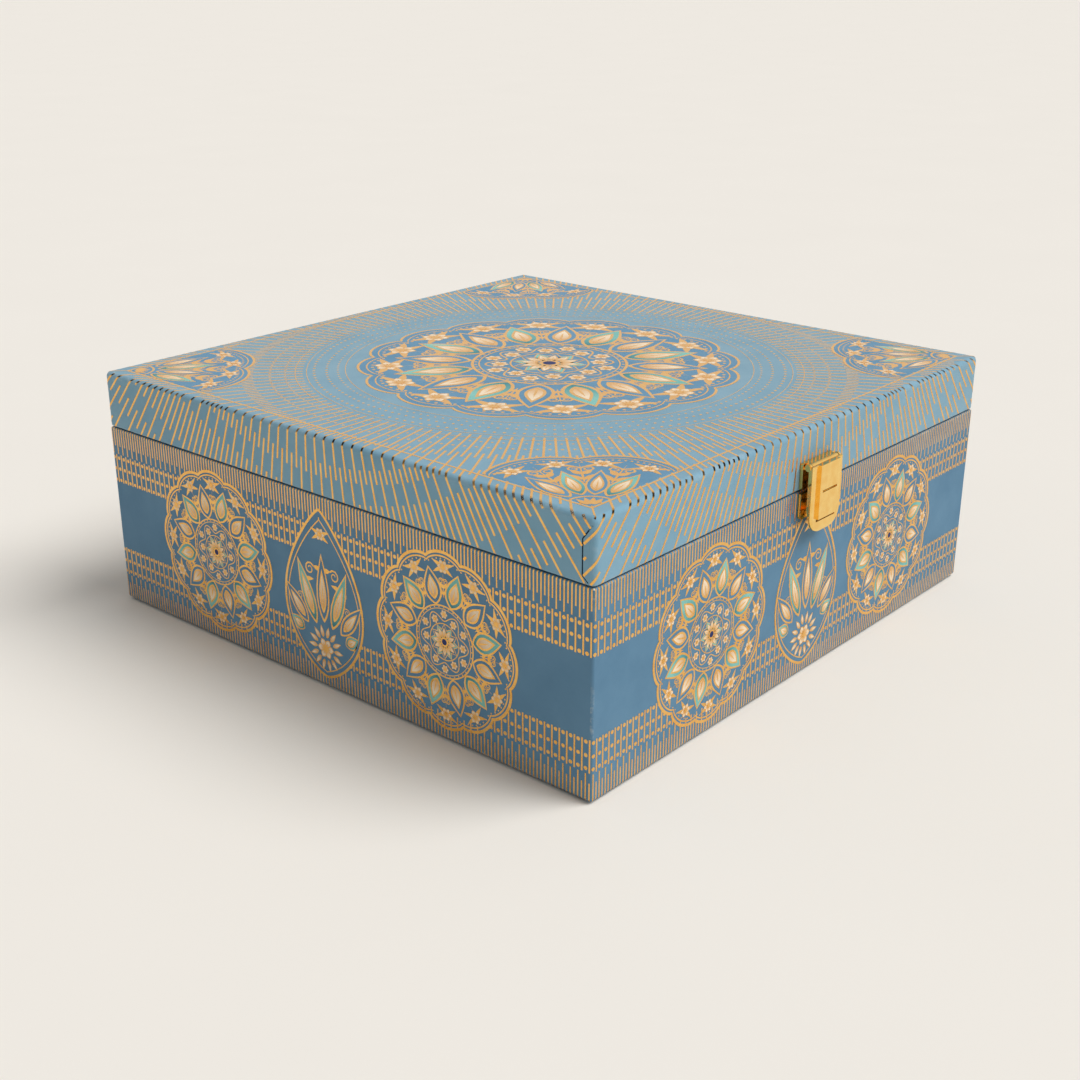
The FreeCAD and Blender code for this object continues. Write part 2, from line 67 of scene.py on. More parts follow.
TRAY_ROUND = 1.2                         # the tray's upright and lower folds
LID_ROUND = 2.2                          # the lid's upright and upper folds
RIM_ROUND = 0.9                          # the two folds that meet where the lid closes
SUNK = 0.2                               # the paper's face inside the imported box: room for the print
FOLD = RIM_ROUND - SUNK                  # the rim fold of the sunk paper
WALL = 4.8                               # board with paper on both faces
PAPER = 0.3                              # thickness of the turned-in paper
print(f"half width {HALF:.1f}, tray {TRAY_BASE:.1f} to {TRAY_RIM:.1f}, lid {LID_RIM:.2f} to {LID_TOP:.2f}")

# %% [markdown]
# ## The camera
# The photograph looks down on the corner between the clasp face and the left face. Its place was found by
# fitting the box's straight edges, so it is written as a point and the directions of the picture's sides.
# The Standard view shows colours as they are written, without a film look.

# %% Camera
EYE = Vector((-456.79, -391.11, 259.92)) * MM
PICTURE_RIGHT = Vector((0.65545, -0.75523, 0.00081))
PICTURE_UP = Vector((0.27800, 0.24226, 0.92953))
SENSOR, LENS = 36.0, 50.34               # width of the sensor and focal length, in millimetres
NEAREST = 0.01                           # what is nearer than this, in metres, isn't drawn

lens = bpy.data.cameras.new("portrait_camera")
lens.sensor_width, lens.lens, lens.clip_start = SENSOR, LENS, NEAREST
camera = bpy.data.objects.new("portrait_camera", lens)
turn = Matrix((PICTURE_RIGHT, PICTURE_UP, PICTURE_RIGHT.cross(PICTURE_UP))).transposed()
camera.matrix_world = Matrix.Translation(EYE) @ turn.to_4x4()
bpy.context.scene.collection.objects.link(camera)
bpy.context.scene.camera = camera
bpy.context.scene.view_settings.view_transform = "Standard"
print("camera at", [round(v, 3) for v in EYE])

# %% [markdown]
# ## Shared effects: paper tooth, handled folds and brushed metal
# Wrapping paper is never one colour: fibres give it a fine tooth, the ink lies a little unevenly, and folds
# rub pale. Each material could hold its own copy of these nodes, but then they would drift apart, so three
# node groups make the effects once. Each puts out masks and heights only, and every finish mixes them with
# its own colours, so that the papers, inks and cards look like one family.

# %% Colours and nodes
def srgb(red, green, blue):
    """A colour as picked on a screen, 0 to 255, turned to the linear values that a socket takes. The curve
    is the standard's own: a straight toe, then a power."""
    c = np.array([red, green, blue]) / 255
    linear = np.where(c <= 0.04045, c / 12.92, ((c + 0.055) / 1.055) ** 2.4)
    return (*linear.tolist(), 1.0)


def set_or_link(tree, socket, value):
    """Links a socket to the input, or sets a plain value on it."""
    if isinstance(value, bpy.types.NodeSocket):
        tree.links.new(value, socket)
    else:
        socket.default_value = value


def node(tree, kind, settings=None, **inputs):
    """A new node of that kind, its properties from settings and its inputs by name, with _ for a space."""
    made = tree.nodes.new("ShaderNode" + kind)
    for key, value in (settings or {}).items():
        setattr(made, key, value)
    for key, value in inputs.items():
        set_or_link(tree, made.inputs[key.replace("_", " ")], value)
    return made


print("a screen grey of 128 is", round(srgb(128, 128, 128)[0], 3), "of white light")

# %% Values, mixes and groups
def noise(tree, place, scale, detail, roughness=0.5):
    """The value of a noise texture whose scale is in cells to the metre."""
    made = node(tree, "TexNoise", Vector=place, Scale=scale, Detail=detail, Roughness=roughness)
    return made.outputs["Fac"]


def stretch(tree, value, low, high, to_low=0.0, to_high=1.0):
    """Stretches the range low to high on to another, and clamps it there."""
    made = node(tree, "MapRange", {"clamp": True}, Value=value, From_Min=low, From_Max=high,
                To_Min=to_low, To_Max=to_high)
    return made.outputs["Result"]


def mix_colours(tree, mask, first, second):
    """The first colour where the mask is 0, and the second where it is 1."""
    made = node(tree, "Mix", {"data_type": "RGBA"})
    sockets = [s for s in made.inputs if s.enabled]
    for socket, value in zip(sockets, (mask, first, second)):
        set_or_link(tree, socket, value)
    return [s for s in made.outputs if s.enabled][0]


def math_node(tree, operation, first, second):
    """A sum, product or other operation on two values."""
    made = node(tree, "Math", {"operation": operation})
    set_or_link(tree, made.inputs[0], first)
    set_or_link(tree, made.inputs[1], second)
    return made.outputs[0]


def new_group(name, inputs, outputs):
    """An empty shader node group with named sockets, and the sockets of its two end nodes."""
    tree = bpy.data.node_groups.new(name, "ShaderNodeTree")
    for socket, kind in inputs.items():
        tree.interface.new_socket(socket, in_out="INPUT", socket_type="NodeSocket" + kind)
    for socket in outputs:
        tree.interface.new_socket(socket, in_out="OUTPUT", socket_type="NodeSocketFloat")
    return tree, tree.nodes.new("NodeGroupInput").outputs, tree.nodes.new("NodeGroupOutput").inputs


print("node kit ready")

# %% Paper tooth
FIBRES, PULP, CLOUDS = 2400.0, 650.0, 60.0    # cells to the metre: fibres, clots of pulp and uneven ink
CLOUD_RANGE = (0.3, 0.7)                 # the part of the noise that is stretched to a mask
paper_tooth, given, result = new_group("paper_tooth", {"Place": "Vector"}, ["Height", "Mottle"])
fibre = noise(paper_tooth, given["Place"], FIBRES, 3.0, 0.6)
pulp = noise(paper_tooth, given["Place"], PULP, 2.0)
cloud = noise(paper_tooth, given["Place"], CLOUDS, 4.0, 0.6)
set_or_link(paper_tooth, result["Height"], math_node(paper_tooth, "MULTIPLY", fibre, pulp))
set_or_link(paper_tooth, result["Mottle"], stretch(paper_tooth, cloud, *CLOUD_RANGE))
print("paper_tooth:", len(paper_tooth.nodes), "nodes")

# %% Handled folds
FLAKES, PATCHES = 500.0, 30.0            # cells to the metre: lifted flakes, and where hands have been
FLAKE_RANGE, PATCH_RANGE = (0.45, 0.62), (0.42, 0.62)
handled_folds, given, result = new_group(
    "handled_folds", {"Place": "Vector", "Fold": "Float"}, ["Rubbed"])
flake = stretch(handled_folds, noise(handled_folds, given["Place"], FLAKES, 4.0, 0.65), *FLAKE_RANGE)
patch = stretch(handled_folds, noise(handled_folds, given["Place"], PATCHES, 2.0), *PATCH_RANGE)
everywhere = math_node(handled_folds, "SUBTRACT", given["Fold"], 1.0)
patch = math_node(handled_folds, "MAXIMUM", patch, everywhere)
spots = math_node(handled_folds, "MULTIPLY", flake, patch)
set_or_link(handled_folds, result["Rubbed"], math_node(handled_folds, "MULTIPLY", spots, given["Fold"]))
print("handled_folds:", len(handled_folds.nodes), "nodes")

# %% Brushed metal
BRUSH_LINES, SMEARS = 5200.0, 240.0      # cells to the metre
DRAWN_OUT = (1.0, 1.0, 0.08)             # the lines are long upwards
SMEAR_RANGE = (0.35, 0.68)
brushed_metal, given, result = new_group("brushed_metal", {"Place": "Vector"}, ["Height", "Haze"])
long_way = node(brushed_metal, "Mapping", Vector=given["Place"], Scale=DRAWN_OUT)
lines = noise(brushed_metal, long_way.outputs["Vector"], BRUSH_LINES, 2.0)
smear = noise(brushed_metal, given["Place"], SMEARS, 3.0, 0.6)
set_or_link(brushed_metal, result["Height"], lines)
set_or_link(brushed_metal, result["Haze"], stretch(brushed_metal, smear, *SMEAR_RANGE))
print("brushed_metal:", len(brushed_metal.nodes), "nodes")

# %% [markdown]
# ## The finishes
# The lid's paper is a paler blue than the tray's, and has a sheen where it is seen at a slant, tinted warm:
# a painted warm reflection. The gold is hot foil: a metal, but a little rough, so it shines evenly, and
# where it is bent round the lid's edge it is painted dark, a painted dark reflection. The clasp is gilt
# metal, more polished. One function makes every paper, card and ink, and another every metal, so a new
# colour is one more line in a list. A finish takes two near colours and lets the mottle wander between
# them.

# %% What every finish starts with
def new_finish(name, **constants):
    """A material with one principled shader, and its object coordinates."""
    material = bpy.data.materials.new(name)
    material.use_nodes = True
    tree = material.node_tree
    tree.nodes.clear()
    shader = node(tree, "BsdfPrincipled", **constants)
    node(tree, "OutputMaterial", Surface=shader.outputs["BSDF"])
    return material, tree, shader.inputs, node(tree, "TexCoord").outputs["Object"]


def use_group(tree, group, **inputs):
    """Places a shared effect in a material, and returns its outputs."""
    return node(tree, "Group", {"node_tree": group}, **inputs).outputs


def marked(tree, label):
    """The value that a piece keeps under that label at each of its points."""
    return node(tree, "Attribute", {"attribute_name": label}).outputs["Fac"]


def bump_surface(tree, shader, height, strength, distance):
    """Bumps the surface by a height mask, whose full height is the distance."""
    bump = node(tree, "Bump", Height=height, Strength=strength, Distance=distance)
    set_or_link(tree, shader["Normal"], bump.outputs["Normal"])


print("finishes start from one shader each")

# %% Paper and metal
PAPER_MIRRORS = 0.2                      # paper mirrors less than the shader's own 0.5
PAINTED_WARM_SHEEN = (0.9, 0.62, 0.3, 1.0)       # warm tint of the paper's sheen at a slant: a painted warm reflection
SHEEN_SPREAD = 0.35
ROOT_RANGE = (0.05, 0.65)                # along a petal, from its root colour to its own
PAPER_HAZE, METAL_HAZE = 0.05, 0.1       # how far roughness wanders
TOOTH_HEIGHT, BRUSH_HEIGHT = 0.1 * MM, 0.02 * MM
FOLD_DARK_REFLECTION = (34, 26, 16)                   # painted dark reflection on foil over the lid's fold
FOLD_DARK_CELLS, FOLD_DARK_RANGE = 22.0, (0.35, 0.5)  # cells to the metre, and the part of the noise that is stretched
FOLD_DARK_LEAST = 0.65


def paper_finish(name, deep, light, rubbed, rough, tooth, root=None, sheen=0.0):
    """Paper, card or ink: two mottled colours, pale rubbed folds, and a tooth that bumps the surface. An
    ink with a root colour shades from it to its own colours along every petal, and a paper with a sheen
    has a warm-tinted sheen where it is seen at a slant: a painted warm reflection."""
    material, tree, shader, place = new_finish(name, Specular_IOR_Level=PAPER_MIRRORS, Sheen_Weight=sheen,
                                               Sheen_Roughness=SHEEN_SPREAD, Sheen_Tint=PAINTED_WARM_SHEEN)
    grain = use_group(tree, paper_tooth, Place=place)
    wear = use_group(tree, handled_folds, Place=place, Fold=marked(tree, "fold"))
    sheet = mix_colours(tree, grain["Mottle"], srgb(*deep), srgb(*light))
    if root:
        along = stretch(tree, marked(tree, "along"), *ROOT_RANGE)
        sheet = mix_colours(tree, along, srgb(*root), sheet)
    set_or_link(tree, shader["Base Color"], mix_colours(tree, wear["Rubbed"], sheet, srgb(*rubbed)))
    uneven = stretch(tree, grain["Mottle"], 0.0, 1.0, rough + PAPER_HAZE, rough - PAPER_HAZE)
    set_or_link(tree, shader["Roughness"], uneven)
    bump_surface(tree, shader, grain["Height"], tooth, TOOTH_HEIGHT)
    return material


def metal_finish(name, deep, light, rough, brush, metallic):
    """Metal or foil: two near golds, haze in its gloss, and fine brush lines that bump the surface. Foil
    that is marked as bent is painted dark there, a painted dark reflection, more in some places than in
    others."""
    material, tree, shader, place = new_finish(name, Metallic=metallic)
    brushed = use_group(tree, brushed_metal, Place=place)
    metal = mix_colours(tree, brushed["Haze"], srgb(*deep), srgb(*light))
    fold_dark_patches = stretch(tree, noise(tree, place, FOLD_DARK_CELLS, 2.0), *FOLD_DARK_RANGE, FOLD_DARK_LEAST, 1.0)
    painted_fold_reflection = math_node(tree, "MULTIPLY", marked(tree, "bent"), fold_dark_patches)
    set_or_link(tree, shader["Base Color"], mix_colours(tree, painted_fold_reflection, metal, srgb(*FOLD_DARK_REFLECTION)))
    hazy = stretch(tree, brushed["Haze"], 0.0, 1.0, rough, rough + METAL_HAZE)
    set_or_link(tree, shader["Roughness"], hazy)
    bump_surface(tree, shader, brushed["Height"], brush, BRUSH_HEIGHT)
    return material


print("finish functions ready")

# %% Make the finishes
PALE = (214, 214, 208)                   # bare fibres where a fold is rubbed
PAPERS = {                               # two mottled colours, rubbed one, roughness, tooth, root, sheen
    "lid_paper": ("lid_blue_paper", (122, 164, 186), (131, 172, 193), PALE, 0.6, 0.35, None, 0.4),
    "tray_paper": ("tray_blue_paper", (91, 130, 158), (99, 139, 167), PALE, 0.6, 0.35),
    "lid_ground": ("lid_ground_ink", (97, 142, 172), (106, 150, 179), PALE, 0.55, 0.3),
    "cream": ("cream_ink", (240, 217, 184), (250, 233, 208), (250, 240, 226), 0.55, 0.25, (216, 160, 96)),
    "teal": ("teal_ink", (120, 186, 178), (146, 204, 194), PALE, 0.55, 0.25, (58, 128, 138)),
    "navy": ("navy_ink", (38, 46, 92), (50, 60, 108), (120, 126, 150), 0.55, 0.25),
    # the dark strip round each lid tab: painted shadow of the open seam
    "seam": ("seam_shadow", (14, 34, 54), (20, 42, 64), (60, 80, 96), 0.8, 0.3),
    "card": ("ivory_card", (236, 230, 214), (241, 235, 220), (246, 242, 232), 0.7, 0.4),
    "backing": ("backing_paper", (205, 191, 166), (216, 203, 180), (226, 216, 198), 0.75, 0.5),
    "board": ("fibreboard", (146, 116, 84), (168, 138, 104), (180, 152, 120), 0.8, 0.8),
}
METALS = {                               # two near colours, roughness, strength of brush lines, metallic
    "gold": ("gold_foil", (236, 177, 90), (248, 196, 111), 0.24, 0.03, 0.88),
    # painted shade on the floors of the clasp's recesses
    "patina": ("painted_recess_shade", (92, 66, 22), (126, 96, 38), 0.4, 0.05, 0.9),
    "gilt": ("gilt_metal", (249, 202, 113), (255, 218, 136), 0.07, 0.015, 1.0),
}
FINISH = {key: paper_finish(*values) for key, values in PAPERS.items()}
FINISH |= {key: metal_finish(*values) for key, values in METALS.items()}
print("finishes:", ", ".join(FINISH))

# %% [markdown]
# ## A profile carried round the box
# Each wrap is one sheet folded round a square. It could be a box with bevelled edges, but then the paper
# that is turned in would need extra cuts. Drawn as a section, it is a line of points, each with an inset
# from the outer face and a height. Carrying the section round a rounded square gives the whole skin at
# once: an array with a row for each point of the section and a column for each step round the square.
# Points close beside every fold hold the flat faces flat under smooth shading.

# %% Rounded squares and sections
SHARP = 0.02                             # the least corner radius, where a square shrinks inside its fold
BESIDE = 0.15                            # from a fold to the row of points that keeps the flat face flat
CORNER_STEPS = 8
FLAT_SHARE, FLAT_STEPS = 0.98, 15        # even columns over this share of a side
next_to_corner = 1.0 - BESIDE / HALF
even_columns = np.linspace(-FLAT_SHARE, FLAT_SHARE, FLAT_STEPS)
side_share = np.concatenate([[-1.0, -next_to_corner], even_columns, [next_to_corner, 1.0]])
corner_swing = np.linspace(0.0, math.pi / 2, CORNER_STEPS + 1)[1:-1]


def square_rings(insets, corner):
    """Rounded squares, one for each inset. A quarter is a run along the front and the arc that follows it,
    whose radius is the corner less the inset; the other three quarters are that one turned."""
    insets = np.asarray(insets)[:, None]
    radius = np.maximum(corner - insets, SHARP)
    centre = HALF - insets - radius
    front = (centre + radius) + 0 * side_share
    x = np.concatenate([centre * side_share, centre + radius * np.sin(corner_swing)], axis=1)
    y = -np.concatenate([front, centre + radius * np.cos(corner_swing)], axis=1)
    return np.concatenate([np.stack(q, -1) for q in ((x, y), (-y, x), (-x, -y), (y, -x))], axis=1)


def arc(inset, height, radius, start, stop, steps=9):
    """Section points on an arc round (inset, height): 0 degrees points out of the box, and 90 up."""
    angle = np.radians(np.linspace(start, stop, steps))
    return np.stack([inset - radius * np.cos(angle), height + radius * np.sin(angle), np.ones(steps)], -1)


def run(*points):
    """Section points in straight runs: (inset, height) pairs that are no fold."""
    return np.array([(inset, height, 0.0) for inset, height in points])


def carry(section, corner):
    """Carries a section round the box: points (rows, columns, 3), and how far each is on a fold, 0 to 1."""
    rings = square_rings(section[:, 0], corner)
    heights = np.repeat(section[:, 1:2], rings.shape[1], axis=1)
    on_corner = np.tile(np.concatenate([0 * side_share, 1 + 0 * corner_swing]), 4)
    points = np.concatenate([rings, heights[..., None]], -1)
    return points, np.maximum(section[:, 2:3], on_corner[None, :])


print("a ring has", square_rings([0.0], LID_ROUND).shape[1], "points")

# %% From arrays to pieces
def ring_faces(rows, columns, close_rows):
    """Faces between neighbours on a grid whose columns close on themselves, and whose rows do if asked."""
    r = np.arange(rows if close_rows else rows - 1)[:, None]
    c = np.arange(columns)[None, :]
    at = [(r % rows) * columns + c, (r % rows) * columns + (c + 1) % columns]
    at += [((r + 1) % rows) * columns + (c + 1) % columns, ((r + 1) % rows) * columns + c]
    return np.stack(at, -1).reshape(-1, 4).tolist()


def new_piece(name, points, faces, finish, body, smooth=False):
    """A mesh object from points in millimetres and faces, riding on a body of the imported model."""
    mesh = bpy.data.meshes.new(name)
    mesh.from_pydata((np.asarray(points).reshape(-1, 3) * MM).tolist(), [], faces)
    mesh.materials.append(FINISH[finish])
    mesh.polygons.foreach_set("use_smooth", [smooth] * len(mesh.polygons))
    mesh.update()
    piece = bpy.data.objects.new(name, mesh)
    bpy.context.scene.collection.objects.link(piece)
    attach(piece, body)
    return piece


def mark(piece, label, values):
    """Keeps a value for each point of a piece under a label, for the finish to read."""
    attribute = piece.data.attributes.new(label, "FLOAT", "POINT")
    attribute.data.foreach_set("value", np.ascontiguousarray(values, np.float32).ravel())


print("a closed grid of 3 by 4 has", len(ring_faces(3, 4, True)), "faces")

# %% [markdown]
# ## The tray's paper
# The tray's sheet starts under the floor, comes round the lower fold, up the wall, over the rim, and is
# glued down inside. An open sheet with a Solidify modifier would do too, but a section that closes on
# itself sets the turned-in edges exactly, and the skin is a closed tube of paper bent round the box.

# %% Tray wrap
TRAY_UNDER = 16.0                        # how far it turns in under the floor
TRAY_INSIDE = 14.0                       # how far it turns down inside the rim
TRAY_WEAR = 0.4                          # how rubbed its folds are
CORNER_WEAR = 2.5                        # and its corners, next to the lid
WEAR_REACH = 3.5                         # the corners' wear fades over this length below the rim's fold
HOLD = 20.0                              # rows this far from the folds hold the wall flat
low, rim = TRAY_BASE + TRAY_ROUND, TRAY_RIM - RIM_ROUND
base, turned_in = TRAY_BASE + SUNK, TRAY_RIM - TRAY_INSIDE
wall_rows = (low + BESIDE, low + HOLD, rim - HOLD, rim - WEAR_REACH, rim - BESIDE)
tray_section = np.concatenate([
    run((TRAY_UNDER, base), (TRAY_ROUND + BESIDE, base)),
    arc(TRAY_ROUND, low, TRAY_ROUND - SUNK, -90, 0),
    run(*[(SUNK, height) for height in wall_rows]),
    arc(RIM_ROUND, rim, FOLD, 0, 90),
    run((RIM_ROUND + BESIDE, rim + FOLD), (WALL - FOLD - BESIDE, rim + FOLD)),
    arc(WALL - FOLD, rim, FOLD, 90, 180),
    run((WALL, rim - BESIDE), (WALL, turned_in), (WALL - PAPER, turned_in), (WALL - PAPER, rim)),
    run((WALL - FOLD, rim + FOLD - PAPER), (RIM_ROUND, rim + FOLD - PAPER)),
    run((SUNK + PAPER, rim), (SUNK + PAPER, low), (TRAY_ROUND, base + PAPER), (TRAY_UNDER, base + PAPER)),
])
points, fold = carry(tray_section, TRAY_ROUND)
tray_paper = new_piece("tray_paper_wrap", points, ring_faces(*points.shape[:2], True),
                       "tray_paper", "tray", smooth=True)
on_outside = tray_section[:, 0:1] < RIM_ROUND
on_corner = (fold.min(axis=0) > 0) & (points[..., 2] > rim - WEAR_REACH) & on_outside
mark(tray_paper, "fold", np.where(on_corner, CORNER_WEAR, TRAY_WEAR * fold))
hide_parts("tray_wrap")
print("tray wrap:", len(tray_paper.data.polygons), "faces")

# %% [markdown]
# ## The lid's paper
# The lid's sheet covers the top and the skirt, and is turned in under the skirt's edge. It is made in the
# same way as the tray's, so that the two meet with matching folds. The section runs from the middle of the
# top's hidden side, out and down behind the paper, round the turned-in edge, and back up the outside to the
# middle of the top. Both ends are poles on the box's axis, and each is closed by one small face.

# %% Lid wrap
LID_INSIDE = 10.0                        # how far it turns up inside the lid's rim
LID_WEAR = 0.2                           # how rubbed its folds are
POLE = 0.5                               # half side of the small square that closes each end
TOP_ROWS = (25, 70)                      # insets of the rows between the fold and the pole
rim, top = LID_RIM + RIM_ROUND, LID_TOP - LID_ROUND
face, turned_in = LID_TOP - SUNK, LID_RIM + LID_INSIDE
under = face - PAPER
lid_section = np.concatenate([
    run((HALF - POLE, under), (LID_ROUND, under), (SUNK + PAPER, top), (SUNK + PAPER, rim)),
    run((RIM_ROUND, rim - FOLD + PAPER), (WALL - FOLD, rim - FOLD + PAPER), (WALL - PAPER, rim)),
    run((WALL - PAPER, turned_in), (WALL, turned_in), (WALL, rim + BESIDE)),
    arc(WALL - FOLD, rim, FOLD, 180, 270),
    run((WALL - FOLD - BESIDE, rim - FOLD), (RIM_ROUND + BESIDE, rim - FOLD)),
    arc(RIM_ROUND, rim, FOLD, -90, 0),
    run((SUNK, rim + BESIDE), (SUNK, top - BESIDE)),
    arc(LID_ROUND, top, LID_ROUND - SUNK, 0, 90),
    run(*[(inset, face) for inset in (LID_ROUND + BESIDE, *TOP_ROWS, HALF - POLE)]),
])
points, fold = carry(lid_section, LID_ROUND)
rows, columns = points.shape[:2]
faces = ring_faces(rows, columns, False)
faces += [list(range(columns))[::-1], list(range((rows - 1) * columns, rows * columns))]
lid_paper = new_piece("lid_paper_wrap", points, faces, "lid_paper", "lid", smooth=True)
mark(lid_paper, "fold", LID_WEAR * fold)
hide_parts("lid_wrap")
print("lid wrap:", len(lid_paper.data.polygons), "faces")

# %% [markdown]
# ## Two flat sheets and how they fold
# Print is laid out before the paper is folded. A shader pattern would have to be cut up for each face, so
# here the pattern is drawn on a flat sheet and a function folds it: a gold ray then runs over the lid's
# edge by itself. The lid's sheet has its zero in the middle of the top. The tray's sheet is a strip: the
# distance round the box from the middle of the clasp face, and the height.

# %% Fold the lid's sheet
LID_FLAT = HALF - LID_ROUND
LID_ARC = LID_ROUND * math.pi / 2        # paper used by the lid's fold
SKIRT = (LID_TOP - LID_ROUND) - (LID_RIM + RIM_ROUND)
LID_EDGE = LID_FLAT + LID_ARC + SKIRT    # on the flat sheet, where the rim's fold starts
TAB_LIFT = 0.1                           # a corner tab lies on top of the side face's paper


def fold_lid(flat, lift, sideways=False, tab_lift=TAB_LIFT):
    """Folds points of the lid's sheet down over the front and back, or sideways over the left and right.
    Past the edge a point turns round the fold by its distance over the radius, then drops straight; past a
    corner it turns round the upright fold in the same way, on to the tab; past the rim it turns under."""
    along, across = (flat[..., 1], flat[..., 0]) if sideways else (flat[..., 0], flat[..., 1])
    to_side, to_edge = np.where(along < 0, -1.0, 1.0), np.where(across < 0, -1.0, 1.0)
    past = np.maximum(np.abs(across) - LID_FLAT, 0)
    past_corner = np.maximum(np.abs(along) - LID_FLAT, 0)
    tip = np.minimum(past / LID_ROUND, math.pi / 2)
    swing = np.minimum(past_corner / LID_ROUND, math.pi / 2)
    drop = np.maximum(past - LID_ARC, 0)
    back = np.maximum(past_corner - LID_ARC, 0)
    under = np.clip((drop - SKIRT) / RIM_ROUND, 0, math.pi / 2)
    lift = lift + tab_lift * np.clip(past_corner / LID_ARC, 0, 1)
    out = np.where(tip < math.pi / 2, (LID_ROUND - SUNK + lift) * np.sin(tip),
                   LID_ROUND - RIM_ROUND + (FOLD + lift) * np.cos(under))
    z = LID_TOP - LID_ROUND - np.minimum(drop, SKIRT)
    z = z + (LID_ROUND - SUNK + lift) * np.cos(tip) - (FOLD + lift) * np.sin(under)
    on_along = np.clip(along, -LID_FLAT, LID_FLAT) + to_side * out * np.sin(swing)
    on_across = to_edge * (np.minimum(np.abs(across), LID_FLAT) - back + out * np.cos(swing))
    return np.stack((on_across, on_along, z) if sideways else (on_along, on_across, z), -1)


print(f"lid sheet {2 * LID_EDGE:.1f} mm square to the rim")

# %% Fold the tray's strip
TRAY_FLAT = HALF - TRAY_ROUND
SIDE_RUN = 2 * TRAY_FLAT + TRAY_ROUND * math.pi / 2


def fold_tray(flat, lift):
    """Wraps points of the tray's strip round its walls. The nearest side is the whole number of side
    lengths; past a side's flat part a point turns round the corner, and past the rim or base over the
    fold."""
    side = np.round(flat[..., 0] / SIDE_RUN)
    along = flat[..., 0] - side * SIDE_RUN
    swing = np.sign(along) * np.maximum(np.abs(along) - TRAY_FLAT, 0) / TRAY_ROUND
    rim, low = TRAY_RIM - RIM_ROUND, TRAY_BASE + TRAY_ROUND
    rim_radius, low_radius = FOLD + lift, TRAY_ROUND - SUNK + lift
    over = np.clip((flat[..., 1] - rim) / RIM_ROUND, 0, math.pi / 2)
    under = np.clip((low - flat[..., 1]) / TRAY_ROUND, 0, math.pi / 2)
    out = np.where(under > 0, low_radius * np.cos(under),
                   TRAY_ROUND - RIM_ROUND + rim_radius * np.cos(over))
    z = np.clip(flat[..., 1], low, rim) + rim_radius * np.sin(over) - low_radius * np.sin(under)
    x = np.clip(along, -TRAY_FLAT, TRAY_FLAT) + out * np.sin(swing)
    y = -(TRAY_FLAT + out * np.cos(swing))
    c, s = np.cos(side * math.pi / 2), np.sin(side * math.pi / 2)
    return np.stack([x * c - y * s, x * s + y * c, z], -1)


print(f"tray strip {4 * SIDE_RUN:.1f} mm long")

# %% [markdown]
# ## Films of ink and foil
# A line, a dot, a petal and a ring are all the same thing: a spine on the flat sheet with a half width at
# each of its points. The two edges are folded twice, at a low and a high lift, and joined as a thin closed
# film. Curves with a bevel would give round wires, and foil lies flat. Real layers are separate passes of
# the press, so each pass gets its own lift and its own mesh.

# %% Stamp films on a sheet
LINE, GROUND, SPRIG, OUTLINE = 0.0385, 0.055, 0.0715, 0.085   # lifts of the passes, from the paper up
FILL, FINE, TOPMOST, VEIN = 0.11, 0.135, 0.1585, 0.175
BURIED = -0.15                           # the lower face of a film, inside the paper
STAGGER = 0.001                          # neighbours in one stamping, and
NEXT_STAMP, LEVELS = 0.003, 7            # stampings of one pass, lie on slightly different levels
BENT = 0.8                               # foil is painted dark, a painted reflection, on the lid's fold from this far past either flat face
passes = {}                              # (body, ink, lift) to the films stamped so far


def spine_edges(spine, half, closed=False):
    """The left and right edges of a spine: it is moved square to its own direction by the half width."""
    ahead = np.roll(spine, -1, 1) - np.roll(spine, 1, 1) if closed else np.gradient(spine, axis=1)
    ahead = ahead / np.linalg.norm(ahead, axis=2, keepdims=True)
    half = np.broadcast_to(half, spine.shape[:2])
    aside = np.stack([-ahead[..., 1], ahead[..., 0]], -1) * half[..., None]
    return spine + aside, spine - aside


def stamp_edges(body, ink, left, right, place, lift, closed=False):
    """Adds films given by their edges, arrays (films, points, 2): four corners in a section, faces between
    neighbouring sections, and a face on each end, or none where the film closes on itself. Films that
    overlap must not share a level, or they would darken each other."""
    films = passes.setdefault((body, ink, lift), [])
    high = lift + NEXT_STAMP * (len(films) % LEVELS) + STAGGER * (np.arange(len(left)) % 2)[:, None]
    corner = [place(left, BURIED), place(right, BURIED), place(right, high), place(left, high)]
    points = np.stack(corner, axis=2)
    along = np.broadcast_to(np.linspace(0, 1, points.shape[1])[None, :, None], points.shape[:3])
    at = np.arange(points.shape[0] * points.shape[1] * 4).reshape(points.shape[:3])
    near, far = (at, np.roll(at, -1, 1)) if closed else (at[:, :-1], at[:, 1:])
    sides = np.stack([np.roll(near, -1, 2), near, far, np.roll(far, -1, 2)], -1).reshape(-1, 4)
    ends = np.zeros((0, 4), int) if closed else np.concatenate([at[:, 0], at[:, -1, ::-1]])
    # foil over the lid's fold is marked, for its painted dark reflection
    past_top = np.abs(points[..., :2]).max(-1) > LID_FLAT + BENT
    bent = past_top & (points[..., 2] > LID_TOP - LID_ROUND + BENT)
    films.append((points.reshape(-1, 3), np.concatenate([sides, ends]), along.ravel(), bent.ravel()))


def stamp(body, ink, spine, half, place, lift, closed=False):
    """Adds films given by spines (films, points, 2) and half widths that fit them."""
    stamp_edges(body, ink, *spine_edges(spine, half, closed), place, lift, closed)


print("passes from", LINE, "to", VEIN, "mm above the paper")

# %% [markdown]
# ## The sunburst on the lid
# Two sets of rays start round the middle and run to the lid's lower edge. Both are broken into dashes that
# end on circles, one set's dashes beside the other's gaps, which is why the dashes seem to step along the
# skirt. On the flat sheet a ray is a straight line, so it needs points only at its ends and where it
# crosses a fold. That keeps a thousand dashes light.

